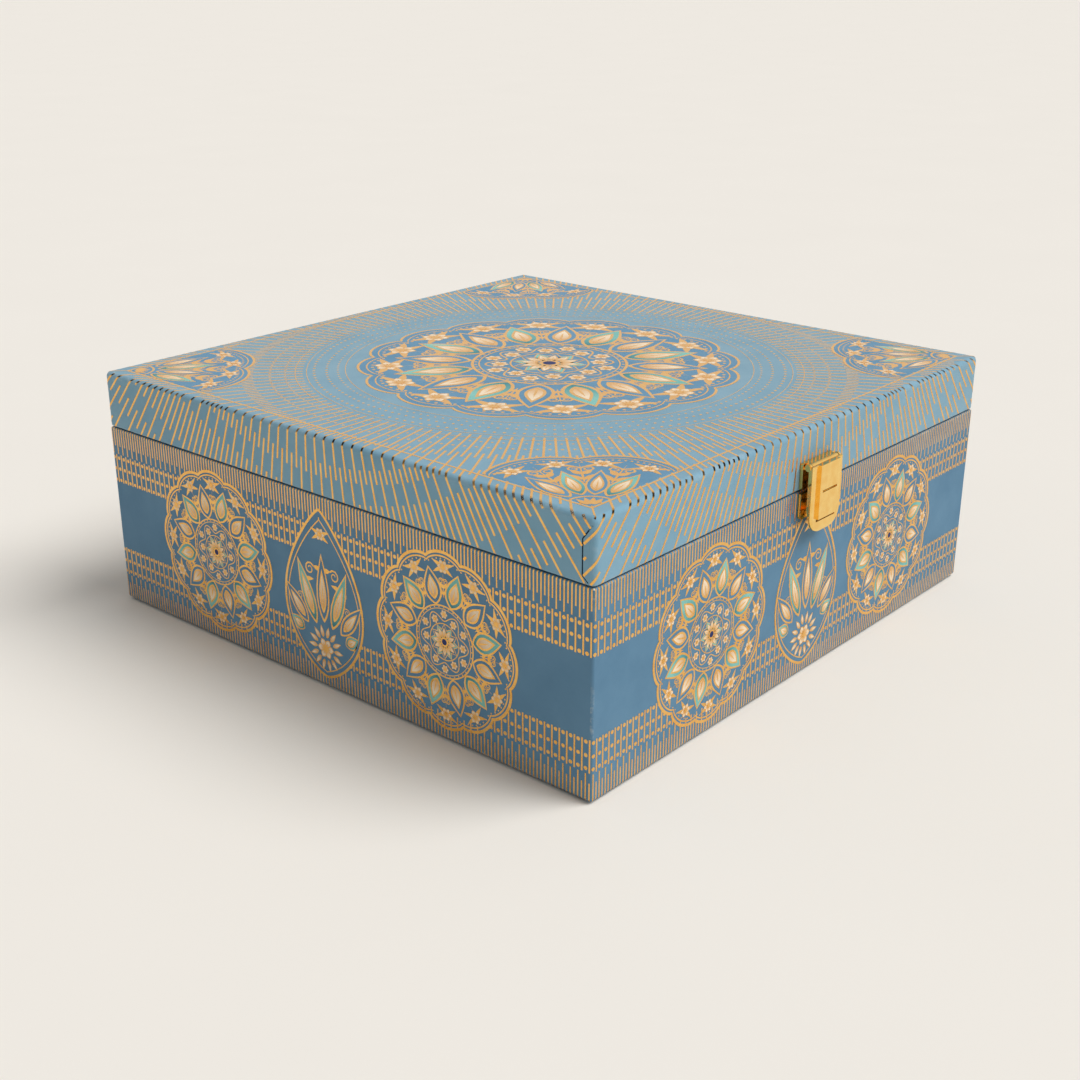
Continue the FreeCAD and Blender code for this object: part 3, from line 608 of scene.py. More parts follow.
# %% Where a ray stops: the lower edge and the corner tabs
TAB_WIDTH, TAB_TOP, TAB_CORNER = 4.6, 2.9, 0.9       # the tab on each side face, from its corner
TAB_UPPER_SLANT, TAB_LOWER_SLANT = 4.9, 3.1
SEAM = 0.6                               # the open seam round a tab
TAB_MARGIN = 0.2                         # a ray on a tab stops this far inside its edge
TRIALS = 300                             # places tried along a ray


def tab_heights(inset):
    """The lower and upper edge of a tab at an inset from the corner: straight slants from its root."""
    share = (inset - TAB_CORNER) / (TAB_WIDTH - TAB_CORNER)
    return LID_RIM + TAB_LOWER_SLANT * share, LID_TOP - TAB_TOP - TAB_UPPER_SLANT * share


def under_tab(inset, height, margin):
    """True where a place on a side face lies inside the tab's outline, drawn out by a margin."""
    low, high = tab_heights(inset)
    return (inset < TAB_WIDTH + margin) & (height > low - margin) & (height < high + margin)


def ray_stops(rays, start, stop, sideways):
    """How far each ray shows: to the band's end, the rim's fold, or the first trial point that has left the
    tab at the end of its own face, or is hidden under its neighbour's. The front's tabs lie on the left and
    right, and the tabs of the left and right lie on the back."""
    along, across = np.abs(rays[:, ::-1] if sideways else rays).T
    stop = np.minimum(stop, (LID_EDGE + RIM_ROUND) / across)
    trial = start + (stop - start)[:, None] * np.linspace(0, 1, TRIALS)
    height = LID_TOP - LID_ROUND - (trial * across[:, None] - LID_FLAT - LID_ARC)
    aside = trial * along[:, None]
    covered = under_tab(HALF - aside, height, SEAM) | (aside > HALF - TAB_CORNER)
    inset = np.maximum(LID_ROUND + aside - LID_FLAT - LID_ARC, TAB_CORNER)
    past_tab = (aside > LID_FLAT + LID_ARC / 2) & ~under_tab(inset, height, -TAB_MARGIN)
    has_tab = (rays[:, 1:2] < 0) != sideways
    hidden = np.where(has_tab, past_tab, covered)
    first = np.where(hidden.any(1), hidden.argmax(1), TRIALS - 1)
    return trial[np.arange(len(trial)), first]


print("tab from", [round(float(v), 1) for v in tab_heights(TAB_CORNER)])

# %% The two sets of rays
RAYS = 168                               # in each set
RAY_STEP = 2 * math.pi / RAYS
RAY_HALF_WIDTH = 0.43
SHORTEST = 1.2                           # a stub shorter than this is left out
HAIR = 1e-3                              # keeps points apart, and a level ray's slope above zero
FIRST_SET = [(119.6, 141.3), (148.9, 182.0), (190.4, 215.0)]      # dashes between circles, by radius
SECOND_SET = [(100.0, 124.2), (136.4, 166.2), (174.8, 215.0)]
fold_steps = LID_FLAT + LID_ARC * np.linspace(0, 1, 7)
rim_steps = LID_EDGE + RIM_ROUND * np.linspace(0, 1, 3)


def ways(angle):
    """Steps of length 1 on the flat sheet at these angles."""
    return np.stack([np.cos(angle), np.sin(angle)], -1)


def stamp_rays(angles, start, stop):
    """Stamps one band of rays. A ray's stations are its two ends and the places where it crosses a fold,
    kept in order by a hair's breadth where they meet."""
    for sideways in (False, True):
        rays = ways(angles)
        rays = rays[(np.abs(rays[:, 0]) > np.abs(rays[:, 1])) == sideways]
        ends = ray_stops(rays, start, stop, sideways)
        rays, ends = rays[ends - start > SHORTEST], ends[ends - start > SHORTEST, None]
        if not len(rays):
            continue
        along, across = np.abs(rays[:, ::-1] if sideways else rays).T[..., None]
        crossings = [fold_steps / across, rim_steps / across, fold_steps / np.maximum(along, HAIR)]
        stations = np.concatenate([0 * ends + start, ends] + crossings, axis=1)
        stations = np.sort(np.clip(stations, start, ends), axis=1) + HAIR * np.arange(stations.shape[1])
        spines = rays[:, None, :] * stations[..., None]
        stamp("lid", "gold", spines, RAY_HALF_WIDTH, lambda f, l: fold_lid(f, l, sideways), LINE)


for dashes, offset in ((FIRST_SET, 0.0), (SECOND_SET, 0.5)):
    for start, stop in dashes:
        stamp_rays((np.arange(RAYS) + offset) * RAY_STEP, start, stop)
print("ray points:", sum(len(film[0]) for film in passes["lid", "gold", LINE]))

# %% [markdown]
# ## Ornament from a few shapes
# Printed borders of this kind are built from dots, rings, petals and curls. They could be drawn by hand as
# curves, one by one. Here each shape is a formula that gives spines and half widths for many copies at
# once. A petal is a straight spine whose width follows a sine that leans to one end, a dot is a short spine
# with a circle's width, and a curl is a spiral that tightens.

# %% Petals, leaves and dots
THIN = 0.04                              # half width at a point, so that no face has zero size
SMALL = 4.0                              # a petal shorter than this has fewer points
PETAL_POINTS, SMALL_PETAL_POINTS, DOT_POINTS = 11, 7, 8
LEAF_LEAN = 0.8


def eased(count):
    """Shares from 0 to 1 that crowd at both ends: half of one less the cosine of an even half turn."""
    return (1 - np.cos(np.linspace(0, math.pi, count))) / 2


def petals(middles, count, inner, outer, half, start=0.0, spread=2 * math.pi, lean=0.75):
    """Petals round each middle, as spines and half widths: width is half times the sine of pi times the
    share of the way out, raised to the lean."""
    share = eased(SMALL_PETAL_POINTS if outer - inner < SMALL else PETAL_POINTS)
    reach = inner + (outer - inner) * share
    way = ways(start + np.arange(count) * spread / count)
    spine = np.asarray(middles, float)[:, None, None, :] + reach[:, None] * way[:, None, :]
    width = np.maximum(half * np.sin(math.pi * share ** lean), THIN)
    return spine.reshape(-1, len(share), 2), width


def leaves(starts, headings, length, half):
    """Small pointed leaves, each from its start along its heading, with a petal's width."""
    share = eased(SMALL_PETAL_POINTS)
    spine = np.asarray(starts)[:, None, :] + length * share[:, None] * ways(headings)[:, None, :]
    return spine, np.maximum(half * np.sin(math.pi * share ** LEAF_LEAN), THIN)


def dots(middles, radius):
    """Round dots: a spine along the level diameter, so that it bends round an upright fold, with the half
    width of a circle."""
    share = -np.cos(np.linspace(0, math.pi, DOT_POINTS))
    spine = np.asarray(middles, float)[:, None, :] + radius * share[:, None] * np.array([1.0, 0.0])
    return spine, np.maximum(radius * np.sqrt(np.maximum(1 - share ** 2, 0)), THIN)


print("a petal has", petals([(0, 0)], 1, 0, 1, 1)[0].shape[1], "points")

# %% Rings, outlines and curls
LOOP_STEPS, RING_STEPS = 192, 96         # points round an outline, and round a plain ring
ROUNDNESS = 0.7                          # below 1, lobes are full and the dips between them sharp
CURL_POINTS, CURL_TURNS = 14, 1.35
CURL_TIGHTENS, CURL_THINS = 0.72, 0.45   # shares of its radius and of its width that a curl loses


def polar(middles, radius, angle):
    """Points round each middle, (middles, angles, 2), with one radius for all angles or one for each."""
    return np.asarray(middles, float)[:, None, :] + np.asarray(radius)[..., None] * ways(angle)


def around(middles, count, radius, start=0.0):
    """Places spread evenly on a circle round each middle."""
    return polar(middles, radius, start + np.arange(count) * 2 * math.pi / count).reshape(-1, 2)


def scallop(radius, lobes, depth):
    """An outline of round lobes: the radius dips by the depth between them."""
    return lambda angle: radius - depth * (1 - np.abs(np.cos(lobes * angle / 2)) ** ROUNDNESS)


def loops(middles, outline):
    """Closed spines round each middle, the radius given as a function of the angle."""
    angle = np.linspace(0, 2 * math.pi, LOOP_STEPS + 1)[:-1]
    return polar(middles, outline(angle), angle)


def rings(middles, radius, steps=LOOP_STEPS):
    """Closed circles round each middle."""
    return polar(middles, radius, np.linspace(0, 2 * math.pi, steps + 1)[:-1])


def curls(starts, headings, size, hand, half):
    """Spirals that set off along their heading and tighten to the left (hand 1) or right (hand -1)."""
    share = np.linspace(0, 1, CURL_POINTS)
    turned = share * CURL_TURNS * 2 * math.pi
    radius = size * (1 - CURL_TIGHTENS * share)
    local = np.stack([radius * np.sin(turned), hand * (size - radius * np.cos(turned))], -1)
    c, s = np.cos(headings)[:, None], np.sin(headings)[:, None]
    x = local[:, 0] * c - local[:, 1] * s
    y = local[:, 0] * s + local[:, 1] * c
    return np.asarray(starts)[:, None, :] + np.stack([x, y], -1), half * (1 - CURL_THINS * share)


print("a curl turns", CURL_TURNS, "times on", CURL_POINTS, "points")

# %% Grounds and blossoms
ROOT = 0.3                               # radius of the small hole in the middle of a ground
EDGE_LINE = 0.55                         # half width of the gold line round it
BLOSSOM_LEAVES = (-2.1, -1.25, 1.25, 2.1)     # turns of a blossom's leaves from the way outward
BLOSSOM_LEAF_LONG, BLOSSOM_LEAF_HALF, BLOSSOM_EYE = 2.0, 0.27, 0.24      # shares of the blossom's size
BLOSSOM_LAYERS = [                       # ink, lift, lean, and shares: inner end, outer end, half width
    ("gold", OUTLINE, 1.2, 0.08, 1.0, 0.36),
    ("cream", FILL, 1.2, 0.2, 0.9, 0.25),
    ("gold", FINE, 0.75, 0.2, 0.62, 0.05),
]


def stamp_ground(body, ink, place, middles, outline):
    """A filled field inside an outline, as a fan from near the middle, with a gold line round it."""
    edge = loops(middles, outline)
    stamp_edges(body, ink, rings(middles, ROOT), edge, place, GROUND, closed=True)
    stamp(body, "gold", edge, EDGE_LINE, place, OUTLINE, closed=True)


def stamp_blossoms(body, place, middles, size, count=6, outward=None):
    """Small flowers: gold petals, paler cream ones on them, fine gold veins and a gold eye. Given the way
    outward of each, gold leaves spread on its two sides."""
    for tilt in BLOSSOM_LEAVES if outward is not None else ():
        spread = leaves(middles, outward + tilt, BLOSSOM_LEAF_LONG * size, BLOSSOM_LEAF_HALF * size)
        stamp(body, "gold", *spread, place, SPRIG)
    for ink, lift, lean, inner, outer, half in BLOSSOM_LAYERS:
        layer = petals(middles, count, inner * size, outer * size, half * size, lean=lean)
        stamp(body, ink, *layer, place, lift)
    stamp(body, "gold", *dots(middles, BLOSSOM_EYE * size), place, TOPMOST)


print("a blossom has", len(BLOSSOM_LAYERS), "layers of petals and an eye")

# %% Lotus petals and sprigs
LOTUS_FIELD = (0.05, 0.06, 0.8)          # shares: drawn in at the root, at the tip, and half width
LOTUS_HEART = (0.2, 0.3, 0.38)
LOTUS_INSIDE = (0.14, 0.22, 0.55)
LOTUS_VEIN = (0.2, 0.42, 0.07)
STEM_HALF, STEM_LEAN = 0.022, 0.5        # a sprig's widths and places are shares of its length
SPRIG_LEAVES = ((0.12, 0.75, 0.4), (0.4, 0.7, 0.3))      # place on the stem, turn from it and length
SPRIG_LEAF_HALF = 0.075
SPRIG_CURL_AT, SPRIG_CURL_TURN, SPRIG_CURL, SPRIG_CURL_HALF = 0.72, 0.25, 0.13, 0.025


def stamp_lotus(body, place, middles, count, inner, outer, half, inks, start=0.0, spread=2 * math.pi):
    """Lotus petals: a gold petal, a coloured one on it, a smaller gold one, a heart and a gold vein. The
    inks are pairs of fill and heart, taken in turn round the ring."""
    long, each = outer - inner, count // len(inks)

    def layer(ink, shares, lift, copies=count, turned=start):
        """One petal of the stack, drawn in from the outermost by its shares."""
        root, tip, width = shares
        ends = inner + root * long, outer - tip * long
        shape = petals(middles, copies, *ends, width * half, turned, spread)
        stamp(body, ink, *shape, place, lift)

    layer("gold", (0.0, 0.0, 1.0), OUTLINE)
    for k, (fill, heart) in enumerate(inks):
        turned = start + k * spread / count
        layer(fill, LOTUS_FIELD, FILL, each, turned)
        layer(heart, LOTUS_HEART, TOPMOST, each, turned)
    layer("gold", LOTUS_INSIDE, FINE)
    layer("gold", LOTUS_VEIN, VEIN)


def stamp_sprigs(body, place, middles, count, inner, outer, start=0.0):
    """Gold stems that point away from each middle, each with two pairs of leaves and a pair of curls."""
    long = outer - inner
    stems = petals(middles, count, inner, outer, STEM_HALF * long, start, lean=STEM_LEAN)
    stamp(body, "gold", *stems, place, SPRIG)
    headings = np.tile(start + np.arange(count) * 2 * math.pi / count, len(middles))
    for share, tilt, length in SPRIG_LEAVES:
        forks = around(middles, count, inner + share * long, start)
        for hand in (-1, 1):
            pair = leaves(forks, headings + hand * tilt, length * long, SPRIG_LEAF_HALF * long)
            stamp(body, "gold", *pair, place, SPRIG)
    heads = around(middles, count, inner + SPRIG_CURL_AT * long, start)
    for hand in (-1, 1):
        turned = headings + hand * SPRIG_CURL_TURN
        pair = curls(heads, turned, SPRIG_CURL * long, hand, SPRIG_CURL_HALF * long)
        stamp(body, "gold", *pair, place, SPRIG)


print("ornament functions ready")

# %% [markdown]
# ## The print on the lid's top
# A square gold line frames the top. In the middle lies a scalloped medallion: a ring of lotus petals,
# blossoms round it and a rosette in its heart. A quarter fan fills each corner. They are drawn from the
# same few shapes, so the whole lid reads as one hand's work, and one function can make the lid's medallion
# and the smaller ones on the walls. The rays thin out to dots before they reach the medallion.

# %% Border line and the dots that end the rays
BORDER = 120.3                           # half side of the square line
BORDER_HALF_WIDTH = 0.4
RAY_DOTS = [                             # radius of the circle and of its dots, and their turn in ray steps
    (95.5, 0.62, 0.5), (90.5, 0.55, 0.5), (86.0, 0.48, 0.5), (113.0, 0.6, 0.0), (107.0, 0.5, 0.0),
]
THIN_RINGS, HAIRLINE = (83.0, 98.5, 103.0), 0.14       # radii, and the half width of all three
CORNERS = np.array([(-1, -1), (1, -1), (1, 1), (-1, 1)])
centre = np.zeros((1, 2))

square = CORNERS * (BORDER - BORDER_HALF_WIDTH)
outer_square = CORNERS * (BORDER + BORDER_HALF_WIDTH)
stamp_edges("lid", "gold", square[None], outer_square[None], fold_lid, GROUND, closed=True)
for circle, radius, turned in RAY_DOTS:
    stamp("lid", "gold", *dots(around(centre, RAYS, circle, turned * RAY_STEP), radius), fold_lid, LINE)
for circle in THIN_RINGS:
    stamp("lid", "gold", rings(centre, circle), HAIRLINE, fold_lid, LINE, closed=True)
print("border at", BORDER, "mm,", RAYS * len(RAY_DOTS), "dots")

# %% Medallion: its parts, as shares of its radius
DIP = 0.06                               # how far the outline dips between its lobes
INNER_LINE, INNER_LINE_HALF = 0.955, 0.28     # the line inside the outline; its half width is in mm
LOTUS_FROM, LOTUS_TO, LOTUS_HALF = 0.41, 0.83, 1.6       # the half width is shared among the lobes
SPRIG_FROM, SPRIG_TO = 0.5, 0.76
LOBE_BLOSSOM_AT, LOBE_BLOSSOM = 0.84, 0.08
BEAD_LINE, BEAD, LOBE_BEADS = 0.925, 0.009, 8
RING_LINES = ((0.405, 0.008), (0.37, 0.004), (0.205, 0.005))     # radius and half width
PEARL_LINE, PEARL, LOBE_PEARLS = 0.387, 0.008, 3
VINE, VINE_SWING, VINE_HALF = 0.287, 0.05, 0.0055
VINE_BLOSSOMS_AT, VINE_BLOSSOM = (0.262, 0.312), 0.05
ROSETTE = 12
ROSETTE_FROM, ROSETTE_TO, ROSETTE_HALF = 0.03, 0.2, 0.05
EYE_RING, EYE_DOT = 0.055, 0.035


def stamp_rosette(body, ground, place, middles, size, lobes):
    """The middle of a medallion: plain rings, a row of pearls, a waving vine with blossoms on both sides, a
    rosette of lotus petals and a dark eye."""
    for radius, half in RING_LINES:
        ring = rings(middles, radius * size, RING_STEPS)
        stamp(body, "gold", ring, half * size, place, OUTLINE, closed=True)
    pearls = around(middles, LOBE_PEARLS * lobes, PEARL_LINE * size)
    stamp(body, "gold", *dots(pearls, PEARL * size), place, SPRIG)
    vine = loops(middles, lambda angle: size * (VINE + VINE_SWING * np.cos(lobes * angle / 2)))
    stamp(body, "gold", vine, VINE_HALF * size, place, OUTLINE, closed=True)
    for radius, turned in zip(VINE_BLOSSOMS_AT, (0.0, 2 * math.pi / lobes)):
        beside = around(middles, lobes // 2, radius * size, turned)
        stamp_blossoms(body, place, beside, VINE_BLOSSOM * size)
    stamp_lotus(body, place, middles, ROSETTE, ROSETTE_FROM * size, ROSETTE_TO * size, ROSETTE_HALF * size,
                [("teal", "cream"), (ground, "cream")])
    stamp(body, "gold", *dots(middles, EYE_RING * size), place, FINE)
    stamp(body, "navy", *dots(middles, EYE_DOT * size), place, TOPMOST)


print("rosette of", ROSETTE, "petals")

# %% Medallion: the whole
MEDALLION, LOBES = 78.0, 16              # radius and lobes of the one on the lid


def stamp_medallion(body, ground, place, middles, size, lobes):
    """A scalloped field with a ring of lotus petals, sprigs between them, a blossom in each lobe, a row of
    beads along its edge, and the rosette in the middle."""
    lobe = 2 * math.pi / lobes
    stamp_ground(body, ground, place, middles, scallop(size, lobes, DIP * size))
    inner_line = loops(middles, scallop(INNER_LINE * size, lobes, DIP * size))
    stamp(body, "gold", inner_line, INNER_LINE_HALF, place, OUTLINE, closed=True)
    stamp_lotus(body, place, middles, lobes, LOTUS_FROM * size, LOTUS_TO * size, LOTUS_HALF * size / lobes,
                [("teal", "cream"), (ground, "cream")], lobe / 2)
    stamp_sprigs(body, place, middles, lobes, SPRIG_FROM * size, SPRIG_TO * size)
    outward = np.tile(np.arange(lobes) * lobe, len(middles))
    in_lobes = around(middles, lobes, LOBE_BLOSSOM_AT * size)
    stamp_blossoms(body, place, in_lobes, LOBE_BLOSSOM * size, outward=outward)
    bead_angle = (np.arange(LOBE_BEADS * lobes) + 0.5) * lobe / LOBE_BEADS
    bead_radius = scallop(BEAD_LINE * size, lobes, DIP * size)(bead_angle)
    beads = polar(middles, bead_radius, bead_angle).reshape(-1, 2)
    stamp(body, "gold", *dots(beads, BEAD * size), place, SPRIG)
    stamp_rosette(body, ground, place, middles, size, lobes)


stamp_medallion("lid", "lid_ground", fold_lid, centre, MEDALLION, LOBES)
print("medallion of", LOBES, "lobes, radius", MEDALLION, "mm")

# %% Corner fans
FAN, FAN_SWELL, FAN_LOBES = 45.0, 4.5, 4      # radius to its dips, swell of its lobes, and their number
FAN_GAP = 1.2                            # from the border line to the fan's root
FAN_INNER_LINE, FAN_INNER_LINE_HALF = 0.95, 0.25       # share of the edge's radius, and half width
FAN_PETAL, FAN_SPRIG = (10.0, 34.0, 4.1), (22.0, 41.0)   # inner and outer end, and a petal's half width
FAN_BLOSSOM_AT, FAN_BLOSSOM = 40.5, 3.6
FAN_BEADS, FAN_BEAD_LINE, FAN_BEAD = 32, 0.91, 0.5
FAN_RING, FAN_RING_HALF, FAN_HEART = 8.6, 0.45, (1.5, 7.6, 1.0)
FAN_STEP = math.pi / 2 / FAN_LOBES
quarter = np.linspace(0, math.pi / 2, 65)
fan_edge = FAN + FAN_SWELL * np.abs(np.sin(FAN_LOBES * quarter)) ** ROUNDNESS


def stamp_fan(middle, turned):
    """A quarter fan round a corner of the border: ground and edge lines, lotus petals, a blossom in each
    lobe, beads along the edge, sprigs between the petals, and a small fan at its root."""
    sweep, ground = quarter + turned, "lid_ground"
    edge = polar(middle, fan_edge, sweep)
    stamp_edges("lid", ground, polar(middle, ROOT, sweep), edge, fold_lid, GROUND)
    stamp("lid", "gold", edge, EDGE_LINE, fold_lid, OUTLINE)
    inner_line = polar(middle, FAN_INNER_LINE * fan_edge, sweep)
    stamp("lid", "gold", inner_line, FAN_INNER_LINE_HALF, fold_lid, OUTLINE)
    stamp_lotus("lid", fold_lid, middle, FAN_LOBES, *FAN_PETAL,
                [("teal", "cream"), (ground, "cream")], turned + FAN_STEP / 2, math.pi / 2)
    outward = turned + (np.arange(FAN_LOBES) + 0.5) * FAN_STEP
    tips = polar(middle, FAN_BLOSSOM_AT, outward)[0]
    stamp_blossoms("lid", fold_lid, tips, FAN_BLOSSOM, outward=outward)
    bead_angle = np.linspace(0, math.pi / 2, FAN_BEADS + 2)[1:-1]
    bead_radius = FAN_BEAD_LINE * np.interp(bead_angle, quarter, fan_edge)
    beads = polar(middle, bead_radius, bead_angle + turned)[0]
    stamp("lid", "gold", *dots(beads, FAN_BEAD), fold_lid, OUTLINE)
    for angle in turned + np.arange(1, FAN_LOBES) * FAN_STEP:
        stamp_sprigs("lid", fold_lid, middle, 1, *FAN_SPRIG, angle)
    stamp("lid", "gold", polar(middle, FAN_RING, sweep), FAN_RING_HALF, fold_lid, OUTLINE)
    heart = petals(middle, FAN_LOBES, *FAN_HEART, turned + FAN_STEP / 2, math.pi / 2)
    stamp("lid", "gold", *heart, fold_lid, OUTLINE)


for quarters, corner in enumerate(CORNERS):
    stamp_fan(corner[None] * (BORDER - FAN_GAP), quarters * math.pi / 2)
print("fans of radius", FAN, "mm")

# %% [markdown]
# ## The tabs at the lid's corners
# The front of the lid's sheet is wider than the box. Its ends fold round the corners as tabs, glued on top
# of the side faces, with slanted edges so that no fold is bulky, and the sides end in such tabs on the
# back. A tab could be modelled as a separate plate, but it is the same sheet, so the same function folds
# it, a tenth of a millimetre higher. Round each tab a dark strip lies on the paper: painted shadow of the
# open seam.

# %% Corner tabs and seams
TAB_POINTS, SEAM_POINTS = 9, 6           # across a tab, and on each half of its seam
SEAM_LIFT = 0.02
inset = np.linspace(TAB_CORNER, TAB_WIDTH, TAB_POINTS)
low, high = tab_heights(inset)
along = LID_FLAT + LID_ARC + inset - LID_ROUND
outward = np.linspace(TAB_CORNER, TAB_WIDTH, SEAM_POINTS)
homeward = np.linspace(TAB_WIDTH, TAB_CORNER, SEAM_POINTS)
seam_height = np.concatenate([tab_heights(outward)[1], tab_heights(homeward)[0]])
seam_inset = np.concatenate([outward, homeward]) + SEAM / 2


def down_sheet(height):
    """The distance from the middle of the flat sheet of a place at that height on the skirt."""
    return LID_FLAT + LID_ARC + LID_TOP - LID_ROUND - height


def fold_for(sideways, tab_lift):
    """A way to fold the lid's sheet, down over the front and back or over the sides."""
    return lambda flat, lift: fold_lid(flat, lift, sideways, tab_lift)


for to_right in (-1, 1):
    for to_back in (-1, 1):
        on_back = to_back > 0                # there the tab belongs to the side face,
        order = [1, 0] if on_back else [0, 1]     # and x and y swap places
        signs = np.array([to_right, to_back])
        upper = signs * np.stack([along, down_sheet(high)], -1)[:, order]
        lower = signs * np.stack([along, down_sheet(low)], -1)[:, order]
        edges = (upper[None], lower[None]) if to_right > 0 else (lower[None], upper[None])
        stamp_edges("lid", "lid_paper", *edges, fold_for(on_back, TAB_LIFT), 0.0)
        # a dark strip along each tab's edge: painted shadow of the open seam
        seam = signs * np.stack([down_sheet(seam_height), HALF - seam_inset], -1)[:, order]
        stamp("lid", "seam", seam[None], SEAM / 2, fold_for(not on_back, 0.0), SEAM_LIFT)
print("tabs", round(float(along[-1] - along[0]), 1), "mm wide")

# %% [markdown]
# ## The striped bands on the tray
# Two bands of upright gold lines run round the tray, one under the rim and its mirror image above the base.
# Lines and short bars take turns, with three dots under every line, so the inner edge of each band looks
# like a fringe. A stripe texture could give the lines but not their bend over the rim. As films on the
# strip they are counted out so that the pattern meets itself after one turn round the box.

# %% Bands of lines, bars and dots
COLUMNS = 320                            # lines in one turn; as many bars stand midway between them
PITCH = 4 * SIDE_RUN / COLUMNS
FIRST_COLUMN = 0.8 - SIDE_RUN / 2        # just past the front left corner
LINE_HALF_WIDTH, BAR_HALF_WIDTH, BAND_DOT = 0.28, 0.33, 0.74
LONG_LINE, SHORT_LINE = 65.15, 68.5      # heights where the lines end
BAR = (52.65, 64.75)                     # from the lower to the upper end of a bar
DOT_HEIGHTS = (63.28, 58.55, 53.64)
OVER_FOLD = np.array([0.0, 0.4, 0.8, 1.2])    # places on the fold, in its own radius
MIDDLE = TRAY_RIM / 2                    # the lower band is the mirror image about this height
rim_end = TRAY_RIM - RIM_ROUND + RIM_ROUND * OVER_FOLD
base_end = TRAY_RIM - TRAY_BASE - TRAY_ROUND + TRAY_ROUND * OVER_FOLD


def upright(u, heights, half, side):
    """Upright gold strokes at the distances u, through the heights; side -1 mirrors them at the middle."""
    heights = MIDDLE + side * (np.asarray(heights) - MIDDLE)
    spine = np.stack(np.broadcast_arrays(u[:, None], heights[None]), -1)
    stamp("tray", "gold", spine, half, fold_tray, LINE)


lines_at = FIRST_COLUMN + PITCH * np.arange(COLUMNS)
bars_at = lines_at + PITCH / 2
for side, over_fold in ((1, rim_end), (-1, base_end)):
    upright(lines_at, [LONG_LINE, *over_fold], LINE_HALF_WIDTH, side)
    upright(bars_at, [SHORT_LINE, *over_fold], LINE_HALF_WIDTH, side)
    upright(bars_at, BAR, BAR_HALF_WIDTH, side)
    for height in DOT_HEIGHTS:
        places = np.stack([lines_at, 0 * lines_at + MIDDLE + side * (height - MIDDLE)], -1)
        stamp("tray", "gold", *dots(places, BAND_DOT), fold_tray, LINE)
print("band pitch", round(PITCH, 4), "mm")

# %% [markdown]
# ## The ornament on the walls
# Each wall has two scalloped roundels, small sisters of the lid's medallion, and between them a bud-shaped
# field with a fan of palm leaves. All four walls are stamped at once, because a wall is only a distance
# along the strip. On the clasp side the bud's tip ends behind the clasp.

# %% Roundels
ROUNDEL, ROUNDEL_LOBES = 33.0, 12        # radius, and lobes
ROUNDEL_AT = 62.0                        # from the middle of a wall
walls = np.arange(4) * SIDE_RUN
roundels_at = (walls[:, None] + [-ROUNDEL_AT, ROUNDEL_AT]).ravel()
roundels = np.stack([roundels_at, np.full(len(roundels_at), MIDDLE)], -1)
stamp_medallion("tray", "tray_paper", fold_tray, roundels, ROUNDEL, ROUNDEL_LOBES)
print("roundels:", len(roundels))

# %% Bud-shaped fields
BUD_FOOT, BUD_TIP, BUD_HALF = 4.5, 71.0, 21.0
BUD_LEAN, BUD_FULLNESS = 0.8, 0.8        # under 1: widest below its middle, and with full sides
BUD_POINTS = 41
BUD_LINE, BUD_INNER_LINE = 0.5, 0.22     # half widths of the gold lines round it
BUD_INSET, BUD_SHORTER = 1.7, 0.93       # the inner line lies this far inside, on a shorter spine
bud_share = eased(BUD_POINTS)
bud_height = BUD_FOOT + (BUD_TIP - BUD_FOOT) * bud_share
bud_half = np.maximum(BUD_HALF * np.sin(math.pi * bud_share ** BUD_LEAN) ** BUD_FULLNESS, THIN)


def on_walls(heights):
    """An upright spine through these heights in the middle of each wall."""
    return np.stack(np.broadcast_arrays(walls[:, None], heights[None]), -1)


left, right = spine_edges(on_walls(bud_height), bud_half)
stamp_edges("tray", "tray_paper", left, right, fold_tray, GROUND)
for edge in (left, right):
    stamp("tray", "gold", edge, BUD_LINE, fold_tray, OUTLINE)
inner_height = BUD_FOOT + BUD_INSET + BUD_SHORTER * (bud_height - BUD_FOOT)
for edge in spine_edges(on_walls(inner_height), np.maximum(bud_half - BUD_INSET, THIN)):
    stamp("tray", "gold", edge, BUD_INNER_LINE, fold_tray, OUTLINE)
print("buds from", BUD_FOOT, "to", BUD_TIP, "mm")

# %% Palm leaves in the buds
PALM_FOOT = 16.0                         # height of the point that the leaves spread from
PALM_LEAVES = 7
LEAF_TURN, LEAF_SHIFT = 1.05, 3.0        # turn and sideways shift of the outermost leaves
LEAF_ROOT, LEAF_REACH, LEAF_SHORTER = 9.6, 38.0, 20.0    # every second leaf starts 1 mm further out
LEAF_HALF, LEAF_NARROWER = 3.5, 0.6
feet = np.stack([walls, np.full(len(walls), PALM_FOOT)], -1)
for k in range(PALM_LEAVES):
    tilt = (k - PALM_LEAVES // 2) / (PALM_LEAVES // 2)
    inks = [("tray_paper" if k % 2 else "teal", "cream")]
    reach, half = LEAF_REACH - LEAF_SHORTER * tilt ** 2, LEAF_HALF - LEAF_NARROWER * tilt ** 2
    stamp_lotus("tray", fold_tray, feet + [LEAF_SHIFT * tilt, 0.0], 1, LEAF_ROOT + k % 2, reach, half, inks,
                math.pi / 2 - LEAF_TURN * tilt)
print("palm leaves:", PALM_LEAVES * len(feet))

